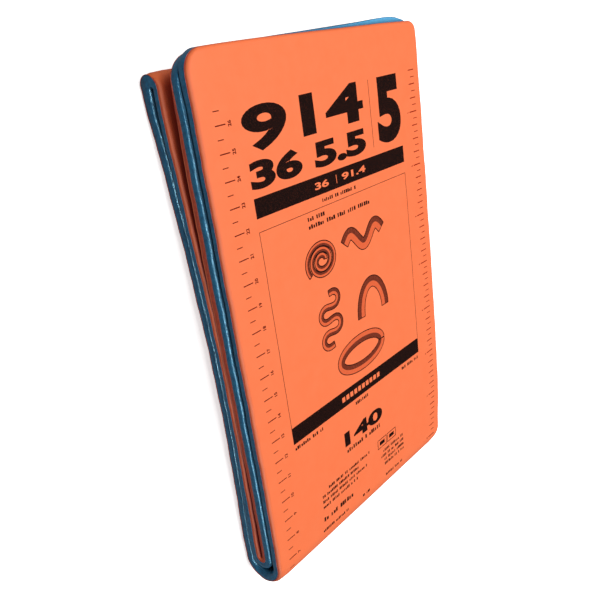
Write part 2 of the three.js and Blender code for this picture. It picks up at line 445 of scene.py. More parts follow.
@dataclass
class FoldedPath:
    """The strip's way through its four leaves, three bends and two free ends.

    Attributes:
        sizes: The strip's sizes.
        leaf_step: From one station to the next on a leaf, in millimetres.
        bend_step: The same round a bend.
        least_bend_steps: How many steps a bend has at least.
        corner_steps: How many steps a free end's rounded corners have.
        rim_steps: How many its rounded rim has.
        rim_reach: How far from the free end that rim starts.
        slope_step: How far to each side of a place its slope is read.
    """

    sizes: StripSizes
    leaf_step: float = 1.7
    bend_step: float = 0.55
    least_bend_steps: int = 10
    corner_steps: int = 16
    rim_steps: int = 7
    rim_reach: float = 1.7
    slope_step: float = 0.01

    def __post_init__(self) -> None:
        """Works out the seam's height along each leaf, over the bends' centre."""
        s = self.sizes
        reach = s.back_leaf - s.inner_bend_rise
        top = s.outer_bend_seam + s.front_leaf_crown

        def places(rows: Sequence[ShareRow]) -> np.ndarray:
            """The rows' places, from the inner bend to the top fold."""
            return np.array([s.inner_bend_rise + row.along * reach for row in rows])

        def shares(rows: Sequence[ShareRow]) -> np.ndarray:
            """The rows' shares."""
            return np.array([row.share for row in rows])

        self.front = SmoothCurve(
            [row.along * s.front_leaf for row in FRONT_CROWN_ROWS],
            s.outer_bend_seam + shares(FRONT_CROWN_ROWS) * s.front_leaf_crown,
        )
        third_top = top - s.front_gap - 2 * s.blue_thickness
        self.third = SmoothCurve(
            places(THIRD_RISE_ROWS),
            s.inner_bend_seam + shares(THIRD_RISE_ROWS) * (third_top - s.inner_bend_seam),
        )
        fan = places(FAN_ROWS)
        under_third = self.third(fan) - 2 * s.orange_thickness - shares(FAN_ROWS) * s.fan_gap
        self.second = SmoothCurve(
            np.concatenate(([s.inner_bend_rise], fan)),
            np.concatenate(([-s.inner_bend_seam], under_third)),
        )
        slit = places(SLIT_ROWS)
        under_second = self.second(slit) - 2 * s.blue_thickness - shares(SLIT_ROWS) * s.slit_gap
        self.back = SmoothCurve(
            np.concatenate(([0.0], slit)),
            np.concatenate(([-s.outer_bend_seam], under_second)),
        )

    def end_distances(self, largest: float) -> np.ndarray:
        """Distances from a free end, closer together where its rim and its corners are round.

        Args:
            largest: The larger of its corners' radii.

        Returns:
            The distances, rising from nothing.
        """
        quarter = np.pi / 2
        corner = 1 - np.cos(quarter * np.arange(self.corner_steps) / self.corner_steps)
        rim = 1 - np.cos(quarter * np.arange(self.rim_steps) / self.rim_steps)
        return np.unique(np.concatenate((largest * corner, self.rim_reach * rim)).round(3))

    def leaf(
        self, height: SmoothCurve, start: float, end: float, stretch: float, free: Optional[str]
    ) -> Stations:
        """Stations along one leaf.

        Args:
            height: The seam's height along the leaf.
            start: The y of its first station.
            end: The y of its last.
            stretch: The stretch count at its first station.
            free: Which end is free, "start" or "end", or None.

        Returns:
            The leaf's stations.
        """
        s = self.sizes
        length = abs(end - start)
        count = int(length / self.leaf_step)
        inner = np.linspace(0, length, count + 1)
        corners = s.third_corners if free == "end" else s.front_corners
        ends = self.end_distances(max(corners))
        if free == "start":
            inner = np.concatenate((ends, inner[inner > max(corners)]))
        if free == "end":
            inner = np.concatenate((inner[inner < length - max(corners)], (length - ends)[::-1]))
        way = math.copysign(1, end - start)
        y = start + way * inner
        slope = (height(y + self.slope_step) - height(y - self.slope_step)) / (2 * self.slope_step)
        heading = np.stack([np.full_like(y, way), way * slope], axis=1)
        heading /= np.linalg.norm(heading, axis=1, keepdims=True)
        if free is None:
            to_end = np.full_like(y, np.inf)
        else:
            to_end = inner if free == "start" else length - inner
        near_end = np.clip(1 - to_end / s.slant_reach, 0, 1)
        return Stations(
            np.stack([y, height(y)], axis=1),
            heading,
            stretch + inner / length,
            to_end,
            near_end * (free == "start"),
            near_end * (free == "end"),
            np.tile(corners, (len(y), 1)),
        )

    def bend(
        self, centre: Sequence[float], radius: float, start: float, turn: float, stretch: float
    ) -> Stations:
        """Stations round a bend, without the two ends that its leaves hold.

        Args:
            centre: The bend's centre, y and z.
            radius: Its radius at the seam.
            start: The angle of its first end.
            turn: The angle that it turns through.
            stretch: The stretch count at its first end.

        Returns:
            The bend's stations.
        """
        count = max(self.least_bend_steps, int(radius * abs(turn) / self.bend_step))
        share = np.arange(1, count) / count
        angle = start + turn * share
        out = np.stack([np.cos(angle), np.sin(angle)], axis=1)
        heading = np.stack([-out[:, 1], out[:, 0]], axis=1) * math.copysign(1, turn)
        none = np.zeros_like(share)
        return Stations(
            np.asarray(centre) + radius * out,
            heading,
            stretch + share,
            np.full_like(share, np.inf),
            none,
            none,
            np.tile(self.sizes.front_corners, (len(share), 1)),
        )

    def stations(self) -> Stations:
        """The whole strip's stations.

        Returns:
            The stations of its leaves and bends, in order.
        """
        s = self.sizes
        quarter, half = math.pi / 2, math.pi
        fold_z = float(self.back(np.array(s.back_leaf))) + s.top_fold_seam
        third_end = s.front_leaf + s.third_leaf_extra
        return Stations.joined(
            [
                self.leaf(self.front, s.front_leaf, 0, 0, "start"),
                self.bend((0, 0), s.outer_bend_seam, quarter, half, 1),
                self.leaf(self.back, 0, s.back_leaf, 2, None),
                self.bend((s.back_leaf, fold_z), s.top_fold_seam, -quarter, half, 3),
                self.leaf(self.second, s.back_leaf, s.inner_bend_rise, 4, None),
                self.bend((s.inner_bend_rise, 0), s.inner_bend_seam, -quarter, -half, 5),
                self.leaf(self.third, s.inner_bend_rise, third_end, 6, "end"),
            ]
        )

    def resting_lean(self) -> float:
        """The lean that lays the outer bend and the top fold on the same surface.

        It is the slope of the line between their centres, less the angle whose sine is the
        difference of their radii over the distance between the centres.

        Returns:
            The angle.
        """
        s = self.sizes
        fold_z = float(self.back(np.array(s.back_leaf))) + s.top_fold_seam
        reach = math.hypot(s.back_leaf, fold_z)
        sine = (s.top_fold_seam - s.outer_bend_seam) / reach
        return math.atan2(fold_z, s.back_leaf) - math.asin(sine)


@dataclass
class Placement:
    """Lays the strip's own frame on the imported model: a lean about x, then a shift.

    Attributes:
        lean: The angle of the lean.
        overhang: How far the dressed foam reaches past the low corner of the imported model's box.
        shift: The shift, in millimetres. It is found by fit.
    """

    lean: float
    overhang: tuple[float, float, float] = (0.17, 0.03, 0.0)
    shift: np.ndarray = field(default_factory=lambda: np.zeros(3))

    def leaned(self, points: np.ndarray) -> np.ndarray:
        """Turns points by the lean.

        Args:
            points: The points in the strip's frame.

        Returns:
            The turned points, still in millimetres.
        """
        cos, sin = math.cos(self.lean), math.sin(self.lean)
        x, y, z = points[..., 0], points[..., 1], points[..., 2]
        return np.stack([x, y * cos + z * sin, z * cos - y * sin], axis=-1)

    def fit(self, clouds: Sequence[np.ndarray]) -> None:
        """Finds the shift that lays the pieces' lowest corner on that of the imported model's box.

        Args:
            clouds: Every piece's points in the strip's frame.
        """
        points = self.leaned(np.concatenate([cloud.reshape(-1, 3) for cloud in clouds]))
        self.shift = np.array(CAD_LOW) / MM - points.min(axis=0) - np.array(self.overhang)

    def metres(self, points: np.ndarray) -> np.ndarray:
        """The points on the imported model, in metres."""
        return (self.leaned(points) + self.shift) * MM


class Ripple:
    """The foam's slight unevenness: a few long waves that cross at slants, at most a hair deep."""

    WAVES = (
        # depth in mm, wavelength along the strip, wavelength across it, phase
        (0.030, 31.0, 90.0, 0.4),
        (0.022, 17.0, -57.0, 1.9),
        (0.016, 11.0, 41.0, 4.1),
    )
    EDGE_WAVES = (
        # depth in mm, wavelength along the strip, phase
        (0.09, 37.0, 0.7),
        (0.06, 14.5, 2.2),
        (0.035, 6.1, 5.0),
    )

    @classmethod
    def face(cls, across: np.ndarray, length: np.ndarray) -> np.ndarray:
        """How far the outer faces stand proud.

        Args:
            across: The places' x.
            length: How far they are along the seam.

        Returns:
            The sum of the waves: each is its depth times the sine of the place over its lengths.
        """
        total = 0.0
        for depth, along_wave, across_wave, phase in cls.WAVES:
            total = total + depth * np.sin(
                2 * np.pi * (length / along_wave + across / across_wave) + phase
            )
        return total

    @classmethod
    def edge(cls, length: np.ndarray) -> np.ndarray:
        """How far the cut edges wander, as the sum of the edge waves.

        Args:
            length: How far the places are along the seam.

        Returns:
            The distances.
        """
        total = 0.0
        for depth, wave, phase in cls.EDGE_WAVES:
            total = total + depth * np.sin(2 * np.pi * length / wave + phase)
        return total


def grid_faces(rows: int, columns: int, closed: bool = False) -> np.ndarray:
    """The quads of a grid of vertices that are numbered row by row.

    Args:
        rows: How many rows of vertices.
        columns: How many vertices are in a row.
        closed: Whether each row closes on itself.

    Returns:
        Four vertex numbers for each quad.
    """
    numbers = np.arange(rows * columns).reshape(rows, columns)
    beside = np.roll(numbers, -1, axis=1)
    if not closed:
        numbers, beside = numbers[:, :-1], beside[:, :-1]
    quads = np.stack([numbers[:-1], beside[:-1], beside[1:], numbers[1:]], axis=-1)
    return quads.reshape(-1, 4)


def signed_volume(points: np.ndarray, quads: np.ndarray) -> float:
    """The volume that quads close, which is negative where they face inwards.

    It is the sum of a third of each face's area vector on its middle, here over two triangles.

    Args:
        points: The vertices.
        quads: Their numbers, four to a face.

    Returns:
        The volume.
    """
    a, b, c, d = (points[quads[:, corner]] for corner in range(4))
    return float((a * (np.cross(b, c) + np.cross(c, d))).sum() / 6)


def new_piece(
    name: str, points: np.ndarray, faces: Sequence[Sequence[int]], smooth: bool
) -> bpy.types.Object:
    """A mesh object at the origin that rides on the splint's body.

    Args:
        name: Its name.
        points: Its vertices, in metres.
        faces: Its faces, as vertex numbers.
        smooth: Whether its faces are shaded smooth.

    Returns:
        The object, in the scene.
    """
    mesh = bpy.data.meshes.new(name)
    mesh.from_pydata(points.tolist(), [], [list(map(int, face)) for face in faces])
    mesh.polygons.foreach_set("use_smooth", np.full(len(mesh.polygons), smooth))
    mesh.update()
    piece = bpy.data.objects.new(name, mesh)
    bpy.context.scene.collection.objects.link(piece)
    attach(piece, BODY)
    return piece


def linear(colour: str) -> tuple[float, float, float, float]:
    """An sRGB hex colour as linear values.

    Each channel is over 12.92 where it is dark, and otherwise the 2.4th power of itself plus 0.055
    over 1.055.

    Args:
        colour: Six hex digits after a hash.

    Returns:
        Red, green, blue and 1.
    """
    channels = [int(colour[start : start + 2], 16) / 255 for start in (1, 3, 5)]
    red, green, blue = (
        value / 12.92 if value <= 0.04045 else ((value + 0.055) / 1.055) ** 2.4
        for value in channels
    )
    return red, green, blue, 1.0


def add_node(
    tree: bpy.types.NodeTree,
    kind: str,
    settings: Optional[dict] = None,
    links: Optional[dict] = None,
) -> bpy.types.Node:
    """Adds a node with its settings and links.

    Args:
        tree: The tree that it goes in.
        kind: The node's type.
        settings: Values for its properties, and for its inputs by name or number.
        links: The output sockets that feed its inputs.

    Returns:
        The node.
    """
    node = tree.nodes.new(kind)
    for name, value in (settings or {}).items():
        if isinstance(name, str) and hasattr(node, name):
            setattr(node, name, value)
        else:
            node.inputs[name].default_value = value
    for name, socket in (links or {}).items():
        tree.links.new(socket, node.inputs[name])
    return node


def new_material(name: str) -> tuple[bpy.types.Material, bpy.types.NodeTree]:
    """An empty material with nodes.

    Args:
        name: Its name.

    Returns:
        The material and its tree.
    """
    material = bpy.data.materials.new(name)
    material.use_nodes = True
    material.node_tree.nodes.clear()
    return material, material.node_tree


@dataclass(frozen=True)
class Speckle:
    """A noise that blends a colour into another.

    Attributes:
        size: How wide its patches are, in millimetres.
        detail: How many finer layers it has.
        roughness: How strong each of those is.
        low: The noise's value where the second colour starts.
        high: The value where that colour has its whole share.
    """

    size: float
    detail: float
    roughness: float
    low: float = 0.33
    high: float = 0.67

    def blended(
        self,
        tree: bpy.types.NodeTree,
        place: bpy.types.NodeSocket,
        first: str,
        second: str,
        share: float = 1.0,
    ) -> bpy.types.NodeSocket:
        """The two colours blended by the noise.

        Args:
            tree: The material's tree.
            place: The object coordinates.
            first: The first colour.
            second: The second colour.
            share: The second colour's share where it is clearest.

        Returns:
            The socket that gives the colour.
        """
        noise = add_node(
            tree,
            "ShaderNodeTexNoise",
            {"Scale": 1 / (self.size * MM), "Detail": self.detail, "Roughness": self.roughness},
            {"Vector": place},
        ).outputs["Fac"]
        amount = add_node(
            tree,
            "ShaderNodeMapRange",
            {"From Min": self.low, "From Max": self.high, "To Max": share},
            {"Value": noise},
        ).outputs[0]
        return add_node(
            tree,
            "ShaderNodeMix",
            {"data_type": "RGBA", MIX_FIRST: linear(first), MIX_SECOND: linear(second)},
            {0: amount},
        ).outputs[MIX_RESULT]


@dataclass(frozen=True)
class FoamFinish:
    """Closed-cell polyethylene foam: split from a block, laminated and cut to a strip.

    Its wide faces have a smooth satin skin with a faint mottle. Its cut edges are denser and show
    the cells, which are about 0.2 mm wide and drawn at 0.5 mm so that they show. Their darker
    colour is painted shade of the sides that face away from the light.
    In the slits between the leaves the foam is darkened with painted shade, where other leaves
    close in on it.

    Attributes:
        name: The material's name.
        face_colour: The skin's colour.
        face_mottle: The colour that mottles it.
        shaded_edge_colour: The cut edges' colour, darker than the skin as painted shade.
        shaded_edge_mottle: The colour that streaks them, in the same painted shade.
        painted_shade_colour: The colour of the painted shade deep in the slits.
        face_roughness: How rough the skin is.
        edge_roughness: How rough the cut edges are.
        cell: How wide the cells are drawn, in millimetres.
        mottle: The skin's mottles.
        streak: The cut edges' streaks.
        cell_depth: How deep the cells are.
        cell_strength: How strongly they shade the cut edges.
        face_grain: How much of that strength is left on the skin.
        shade_reach: How near another leaf has to be for the painted shade to darken the foam.
        shade_range: How open the sky is where the painted shade is darkest, and where it stops.
        shade_samples: How many directions are tried for that.
        specular: The level of its shine.
    """

    name: str
    face_colour: str
    face_mottle: str
    shaded_edge_colour: str
    shaded_edge_mottle: str
    painted_shade_colour: str
    face_roughness: float
    edge_roughness: float
    cell: float = 0.5
    mottle: Speckle = Speckle(size=7.0, detail=4.0, roughness=0.6)
    streak: Speckle = Speckle(size=1.6, detail=3.0, roughness=0.65)
    cell_depth: float = 0.05
    cell_strength: float = 0.6
    face_grain: float = 0.35
    shade_reach: float = 9.0
    shade_range: tuple[float, float] = (0.25, 0.85)
    shade_samples: int = 8
    specular: float = 0.5

    def material(self) -> bpy.types.Material:
        """The finish as a material, which reads object coordinates and the attribute rim.

        Returns:
            The material.
        """
        material, tree = new_material(self.name)
        place = add_node(tree, "ShaderNodeTexCoord").outputs["Object"]
        rim = add_node(tree, "ShaderNodeAttribute", {"attribute_name": "rim"}).outputs["Fac"]
        face = self.mottle.blended(tree, place, self.face_colour, self.face_mottle)
        # The cut edges' colour is painted shade: darker than the skin where the sides face away
        # from the light.
        edge = self.streak.blended(tree, place, self.shaded_edge_colour, self.shaded_edge_mottle)
        colour = add_node(
            tree,
            "ShaderNodeMix",
            {"data_type": "RGBA"},
            {0: rim, MIX_FIRST: face, MIX_SECOND: edge},
        ).outputs[MIX_RESULT]
        surface = add_node(
            tree,
            "ShaderNodeBsdfPrincipled",
            {"IOR": 1.5, "Specular IOR Level": self.specular},
            {
                # The base colour carries painted shade in the slits between the leaves.
                "Base Color": self.with_painted_shade(tree, colour),
                "Roughness": add_node(
                    tree,
                    "ShaderNodeMapRange",
                    {"To Min": self.face_roughness, "To Max": self.edge_roughness},
                    {"Value": rim},
                ).outputs[0],
                "Normal": self.celled(tree, place, rim),
            },
        ).outputs[0]
        add_node(tree, "ShaderNodeOutputMaterial", links={"Surface": surface})
        return material

    def with_painted_shade(
        self, tree: bpy.types.NodeTree, colour: bpy.types.NodeSocket
    ) -> bpy.types.NodeSocket:
        """The foam's colour with painted shade: darkened towards the shade colour where other
        leaves close in on it.

        Args:
            tree: The material's tree.
            colour: The foam's own colour.

        Returns:
            The socket that gives the colour.
        """
        # Painted shade: how open the sky is near the foam becomes a darkening of its colour.
        open_sky = add_node(
            tree,
            "ShaderNodeAmbientOcclusion",
            {"samples": self.shade_samples, "Distance": self.shade_reach * MM},
        ).outputs["AO"]
        darkest, plain = self.shade_range
        share = add_node(
            tree,
            "ShaderNodeMapRange",
            {"From Min": darkest, "From Max": plain},
            {"Value": open_sky},
        ).outputs[0]
        return add_node(
            tree,
            "ShaderNodeMix",
            {"data_type": "RGBA", MIX_FIRST: linear(self.painted_shade_colour)},
            {0: share, MIX_SECOND: colour},
        ).outputs[MIX_RESULT]

    def celled(
        self, tree: bpy.types.NodeTree, place: bpy.types.NodeSocket, rim: bpy.types.NodeSocket
    ) -> bpy.types.NodeSocket:
        """The bump of the foam's cells, strong on the cut edges and faint on the skin.

        Args:
            tree: The material's tree.
            place: The object coordinates.
            rim: How much of the place is on the cut edge.

        Returns:
            The socket that gives the normal.
        """
        cells = add_node(
            tree, "ShaderNodeTexVoronoi", {"Scale": 1 / (self.cell * MM)}, {"Vector": place}
        ).outputs["Distance"]
        share = add_node(
            tree, "ShaderNodeMapRange", {"To Min": self.face_grain}, {"Value": rim}
        ).outputs[0]
        grain = add_node(
            tree, "ShaderNodeMath", {"operation": "MULTIPLY"}, {0: cells, 1: share}
        ).outputs[0]
        return add_node(
            tree,
            "ShaderNodeBump",
            {"Distance": self.cell_depth * MM, "Strength": self.cell_strength},
            {"Height": grain},
        ).outputs[0]


@dataclass(frozen=True)
class InkFinish:
    """Screen-printed ink on foam: a thin satin film that leaves specks of foam where cells gape.

    Attributes:
        name: The material's name.
        ink_colour: The colour of the film.
        speck_colour: The colour of the specks.
        speck_share: How much of that colour the clearest specks have.
        specks: The specks.
        roughness: How rough the film is.
        specular: The level of its shine.
    """

    name: str
    ink_colour: str
    speck_colour: str
    speck_share: float = 0.4
    specks: Speckle = Speckle(size=0.4, detail=2.0, roughness=0.7, low=0.5, high=0.72)
    roughness: float = 0.55
    specular: float = 0.05

    def material(self) -> bpy.types.Material:
        """The finish as a material, which reads object coordinates.

        Returns:
            The material.
        """
        material, tree = new_material(self.name)
        place = add_node(tree, "ShaderNodeTexCoord").outputs["Object"]
        colour = self.specks.blended(
            tree, place, self.ink_colour, self.speck_colour, self.speck_share
        )
        surface = add_node(
            tree,
            "ShaderNodeBsdfPrincipled",
            {"IOR": 1.45, "Roughness": self.roughness, "Specular IOR Level": self.specular},
            {"Base Color": colour},
        ).outputs[0]
        add_node(tree, "ShaderNodeOutputMaterial", links={"Surface": surface})
        return material


# Orange polyethylene foam, split and laminated: a flat, warm skin, and a redder rim painted darker
# as shade.
ORANGE_FOAM = FoamFinish(
    name="orange_polyethylene_foam",
    face_colour="#FF7B48",
    face_mottle="#FF7E4C",
    # Painted shade: the rim's colour is darkened for sides that face away from the light.
    shaded_edge_colour="#DC5A3A",
    shaded_edge_mottle="#C4482E",
    # Painted shade: the deep red that the foam is darkened to in the slits.
    painted_shade_colour="#960A02",
    face_roughness=0.5,
    edge_roughness=0.45,
    specular=0.25,
)

# Blue polyethylene foam, split and laminated: a clear light skin, and glossier cut edges painted
# dark as shade.
BLUE_FOAM = FoamFinish(
    name="blue_polyethylene_foam",
    face_colour="#5AC2FC",
    face_mottle="#66C8FC",
    # Painted shade: the cut edges' colour is darkened for sides that face away from the light.
    shaded_edge_colour="#207CAA",
    shaded_edge_mottle="#145C84",
    # Painted shade: the deep navy that the foam is darkened to in the slits.
    painted_shade_colour="#020A28",
    face_roughness=0.42,
    edge_roughness=0.19,
)

# Black screen ink in full cover: a warm near-black that the foam flecks.
BLACK_INK = InkFinish("black_screen_ink", "#120605", "#6A301E")

# The same ink in the centimetre ruler's fine marks, where the foam tints it dark red.
RULER_INK = InkFinish("dark_red_ruler_ink", "#5E0E06", "#9A3A20")

# The inch ruler's ink lies thinner still: the eye sees a clear brick red.
THIN_RULER_INK = InkFinish("brick_red_ruler_ink", "#9A2408", "#C04A24")

# A dense halftone of the black ink, which the eye blends with the foam to a speckled brown.
BROWN_INK = InkFinish("brown_halftone_ink", "#6E2C1C", "#B4563A", speck_share=0.7)

# A sparse halftone, which only dulls the foam a little.
PALE_INK = InkFinish("pale_halftone_ink", "#E2643C", "#F8784A", speck_share=0.6)


@dataclass
class StripEdges:
    """How the strip's edges, its rims and its free ends depart from a plain band.

    Attributes:
        sizes: The strip's sizes.
    """

    sizes: StripSizes

    @property
    def drift(self) -> SmoothCurve:
        """How far the strip lies to the left, over the stretches."""
        return SmoothCurve.column(EDGE_ROWS, "drift", self.sizes.side_drift)

    @property
    def arris(self) -> SmoothCurve:
        """The orange rim's radius, over the stretches."""
        return SmoothCurve.column(EDGE_ROWS, "arris", self.sizes.orange_arris)

    def narrow(self, stretch: np.ndarray) -> np.ndarray:
        """How far its right edge is drawn in at each stretch count."""
        narrowing = SmoothCurve.column(EDGE_ROWS, "narrow", self.sizes.bend_narrowing)
        return narrowing(stretch) + self.rim("drawn_in")(stretch)

    @staticmethod
    def rim(name: str) -> SmoothCurve:
        """A column of the rim rows, over the stretches."""
        return SmoothCurve.column(RIM_ROWS, name)

    def end_shift(self, at: Stations, across: np.ndarray) -> np.ndarray:
        """How far the strip's points are shifted along it near its free ends.

        Each end follows its column of the end rows, and the third leaf's slants besides.

        Args:
            at: The stations.
            across: The points' x, a row for each station.

        Returns:
            The shifts, which are positive towards the third leaf's end.
        """
        front = SmoothCurve.column(END_ROWS, "front")(across)
        third = SmoothCurve.column(END_ROWS, "third")(across)
        third = third + math.tan(self.sizes.third_end_slant) * across
        return at.third_share[:, None] * third - at.front_share[:, None] * front


class RingFace(NamedTuple):
    """The outer face or the seam face of a foam's rings, with a row for each station.

    Attributes:
        across: Its places' x, from left to right.
        height: Their distance from the seam.
        rim: How much each is on the cut rim: 0 is the skin, 1 the cut edge.
    """

    across: np.ndarray
    height: np.ndarray
    rim: np.ndarray


@dataclass
class FoamLayer:
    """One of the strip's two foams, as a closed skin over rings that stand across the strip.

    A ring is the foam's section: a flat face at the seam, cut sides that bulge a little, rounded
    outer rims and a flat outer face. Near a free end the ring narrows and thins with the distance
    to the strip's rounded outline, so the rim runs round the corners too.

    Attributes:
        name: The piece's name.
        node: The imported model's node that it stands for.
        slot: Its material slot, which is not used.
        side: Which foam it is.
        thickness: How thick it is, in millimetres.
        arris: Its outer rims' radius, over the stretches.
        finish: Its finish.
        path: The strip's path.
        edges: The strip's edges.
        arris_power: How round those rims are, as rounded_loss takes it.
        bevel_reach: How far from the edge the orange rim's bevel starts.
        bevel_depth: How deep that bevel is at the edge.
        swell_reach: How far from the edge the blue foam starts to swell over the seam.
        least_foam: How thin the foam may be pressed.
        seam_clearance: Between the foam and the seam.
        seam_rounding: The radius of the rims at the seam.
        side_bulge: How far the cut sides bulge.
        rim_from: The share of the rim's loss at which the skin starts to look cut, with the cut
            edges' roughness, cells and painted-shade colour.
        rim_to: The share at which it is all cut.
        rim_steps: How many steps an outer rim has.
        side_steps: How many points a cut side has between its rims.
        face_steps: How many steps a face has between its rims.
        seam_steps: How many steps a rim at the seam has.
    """

    name: str
    node: str
    slot: str
    side: Side
    thickness: float
    arris: Callable[[np.ndarray], np.ndarray]
    finish: FoamFinish
    path: FoldedPath
    edges: StripEdges
    arris_power: float = 2.0
    bevel_reach: float = 4.5
    bevel_depth: float = 1.6
    swell_reach: float = 8.0
    least_foam: float = 0.12
    seam_clearance: float = 0.02
    seam_rounding: float = 0.16
    side_bulge: float = 0.12
    rim_from: float = 0.5
    rim_to: float = 0.9
    rim_steps: int = 9
    side_steps: int = 6
    face_steps: int = 26
    seam_steps: int = 4

    def __post_init__(self) -> None:
        """Works out the rings."""
        self.stations = self.path.stations()
        self.points, self.rim = self.rings()

    @staticmethod
    def cross_places(
        left: np.ndarray, right: np.ndarray, radius: np.ndarray, steps: int, flat: int
    ) -> np.ndarray:
        """Places across a face, from left to right, closer together where its rims are round.

        Args:
            left: The face's left end at each station.
            right: Its right end.
            radius: The rims' radius there.
            steps: How many steps a rim has.
            flat: How many steps the flat between the rims has.

        Returns:
            A row of x for each station.
        """
        rim = radius[:, None] * (1 - np.cos(np.pi / 2 * np.arange(steps) / steps))
        share = np.linspace(0, 1, flat + 1)
        start, end = (left + radius)[:, None], (right - radius)[:, None]
        middle = start + (end - start) * share
        return np.concatenate((left[:, None] + rim, middle, right[:, None] - rim[:, ::-1]), axis=1)

    def to_outline(self, across: np.ndarray, half: np.ndarray) -> np.ndarray:
        """How far a place on the strip is from its outline, whose corners are rounded.

        Away from the corners it is the distance to the nearer edge, and in a corner the corner's
        radius less the distance from its centre.

        Args:
            across: The places' x, a row for each station.
            half: Half of the strip's full width at each station.

        Returns:
            The distances.
        """
        at, half = self.stations, half[:, None]
        to_end = at.to_end[:, None]
        radius = np.where(across > 0, at.corners[:, 1:], at.corners[:, :1])
        plain = np.minimum(half - np.abs(across), to_end)
        over = np.abs(across) - (half - radius)
        near_end = np.where(np.isfinite(to_end), radius - to_end, -1.0)
        corner = radius - np.hypot(np.maximum(over, 0), np.maximum(near_end, 0))
        return np.maximum(np.where((over > 0) & (near_end > 0), corner, plain), 0)

    def swelling(self, from_outline: np.ndarray) -> np.ndarray:
        """How far the blue foam's swelling moves this foam's seam face, fading by a square law."""
        near = np.clip(1 - from_outline / self.swell_reach, 0, 1) ** 2
        return self.side.value * self.edges.rim("swell")(self.stations.stretch)[:, None] * near

    def outer_face(self, left: np.ndarray, right: np.ndarray, half: np.ndarray) -> RingFace:
        """The outer face and its rims. The orange foam's rims are pressed to a bevel in places.

        Its height is the foam's thickness, less what its rims lose, plus the ripple.

        Args:
            left: The foam's left end at each station.
            right: Its right end.
            half: Half of the strip's full width.

        Returns:
            The face.
        """
        at = self.stations
        arris = self.arris(at.stretch)
        across = self.cross_places(left, right, arris, self.rim_steps, self.face_steps)
        from_outline = self.to_outline(across, half)
        loss = rounded_loss(from_outline, arris[:, None], self.arris_power)
        if self.side is Side.ORANGE:
            pressed = self.bevel_depth * np.clip(1 - from_outline / self.bevel_reach, 0, 1) ** 2
            bevel = self.edges.rim("bevel")(at.stretch)[:, None]
            loss = loss * (1 - bevel) + pressed * bevel
        ripple = Ripple.face(across, at.length[:, None])
        height = self.thickness - loss + ripple * np.clip(1 - loss, 0, 1)
        height = np.maximum(height, self.swelling(from_outline) + self.least_foam)
        rim = (loss / arris[:, None] - self.rim_from) / (self.rim_to - self.rim_from)
        return RingFace(across, height, np.clip(rim, 0, 1))

    def seam_face(self, left: np.ndarray, right: np.ndarray, half: np.ndarray) -> RingFace:
        """The face at the seam, with small rims that leave a groove along the strip's edges.

        Args:
            left: The foam's left end at each station.
            right: Its right end.
            half: Half of the strip's full width.

        Returns:
            The face.
        """
        radius = np.full_like(left, self.seam_rounding)
        across = self.cross_places(left, right, radius, self.seam_steps, self.face_steps)
        from_outline = self.to_outline(across, half)
        loss = rounded_loss(from_outline, radius[:, None])
        height = self.seam_clearance + loss + self.swelling(from_outline)
        return RingFace(across, height, np.clip(loss / self.seam_rounding, 0, 1))

    def rings(self) -> tuple[np.ndarray, np.ndarray]:
        """Works out the rings: the seam face, the right side, the outer face and the left side.

        A side's points rise evenly from the one face to the other. They bulge by the side's bulge,
        times four times their share of the way, times the rest of it.

        Returns:
            The points in the strip's frame, and how much each is on the cut rim.
        """
        at = self.stations
        narrow = self.edges.narrow(at.stretch)
        half = (self.path.sizes.width - narrow) / 2 + Ripple.edge(at.length)
        left = rounded_loss(at.to_end, at.corners[:, 0]) - half
        right = half - rounded_loss(at.to_end, at.corners[:, 1])
        outer = self.outer_face(left, right, half)
        seam = self.seam_face(left, right, half)

        rise = np.linspace(0, 1, self.side_steps + 2)[1:-1]
        bulge = self.side_bulge * 4 * rise * (1 - rise)
        left_x, right_x = left[:, None] - bulge, right[:, None] + bulge
        left_h = seam.height[:, :1] + (outer.height[:, :1] - seam.height[:, :1]) * rise
        right_h = seam.height[:, -1:] + (outer.height[:, -1:] - seam.height[:, -1:]) * rise
        cut = np.ones_like(left_h)
        x = np.concatenate((seam.across, right_x, outer.across[:, ::-1], left_x[:, ::-1]), axis=1)
        h = np.concatenate((seam.height, right_h, outer.height[:, ::-1], left_h[:, ::-1]), axis=1)
        rim = np.concatenate((seam.rim, cut, outer.rim[:, ::-1], cut), axis=1)

        normal = at.outward * self.side.value
        yz = at.seam[:, None, :] + h[..., None] * normal[:, None, :]
        yz = yz + self.edges.end_shift(at, x)[..., None] * at.heading[:, None, :]
        middle = (self.edges.drift(at.stretch) + narrow / 2)[:, None]
        return np.concatenate(((x - middle)[..., None], yz), axis=-1), rim

    def build(self, placement: Placement) -> bpy.types.Object:
        """Makes the layer's piece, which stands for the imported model's node.

        Args:
            placement: Where the strip lies.

        Returns:
            The piece.
        """
        rings, count = self.points.shape[:2]
        flat = placement.metres(self.points).reshape(-1, 3)
        quads = grid_faces(rings, count, closed=True)
        first = np.arange(count)
        last = first + (rings - 1) * count
        faces = quads.tolist() + [first[::-1].tolist(), last.tolist()]
        if signed_volume(flat, quads) < 0:
            faces = [face[::-1] for face in faces]
        piece = new_piece(self.name, flat, faces, smooth=True)
        attribute = piece.data.attributes.new("rim", "FLOAT", "POINT")
        attribute.data.foreach_set("value", self.rim.reshape(-1).astype(np.float32))
        piece.data.materials.append(self.finish.material())
        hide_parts(self.node)
        LOG.info("%s: %d rings of %d points", self.name, rings, count)
        return piece


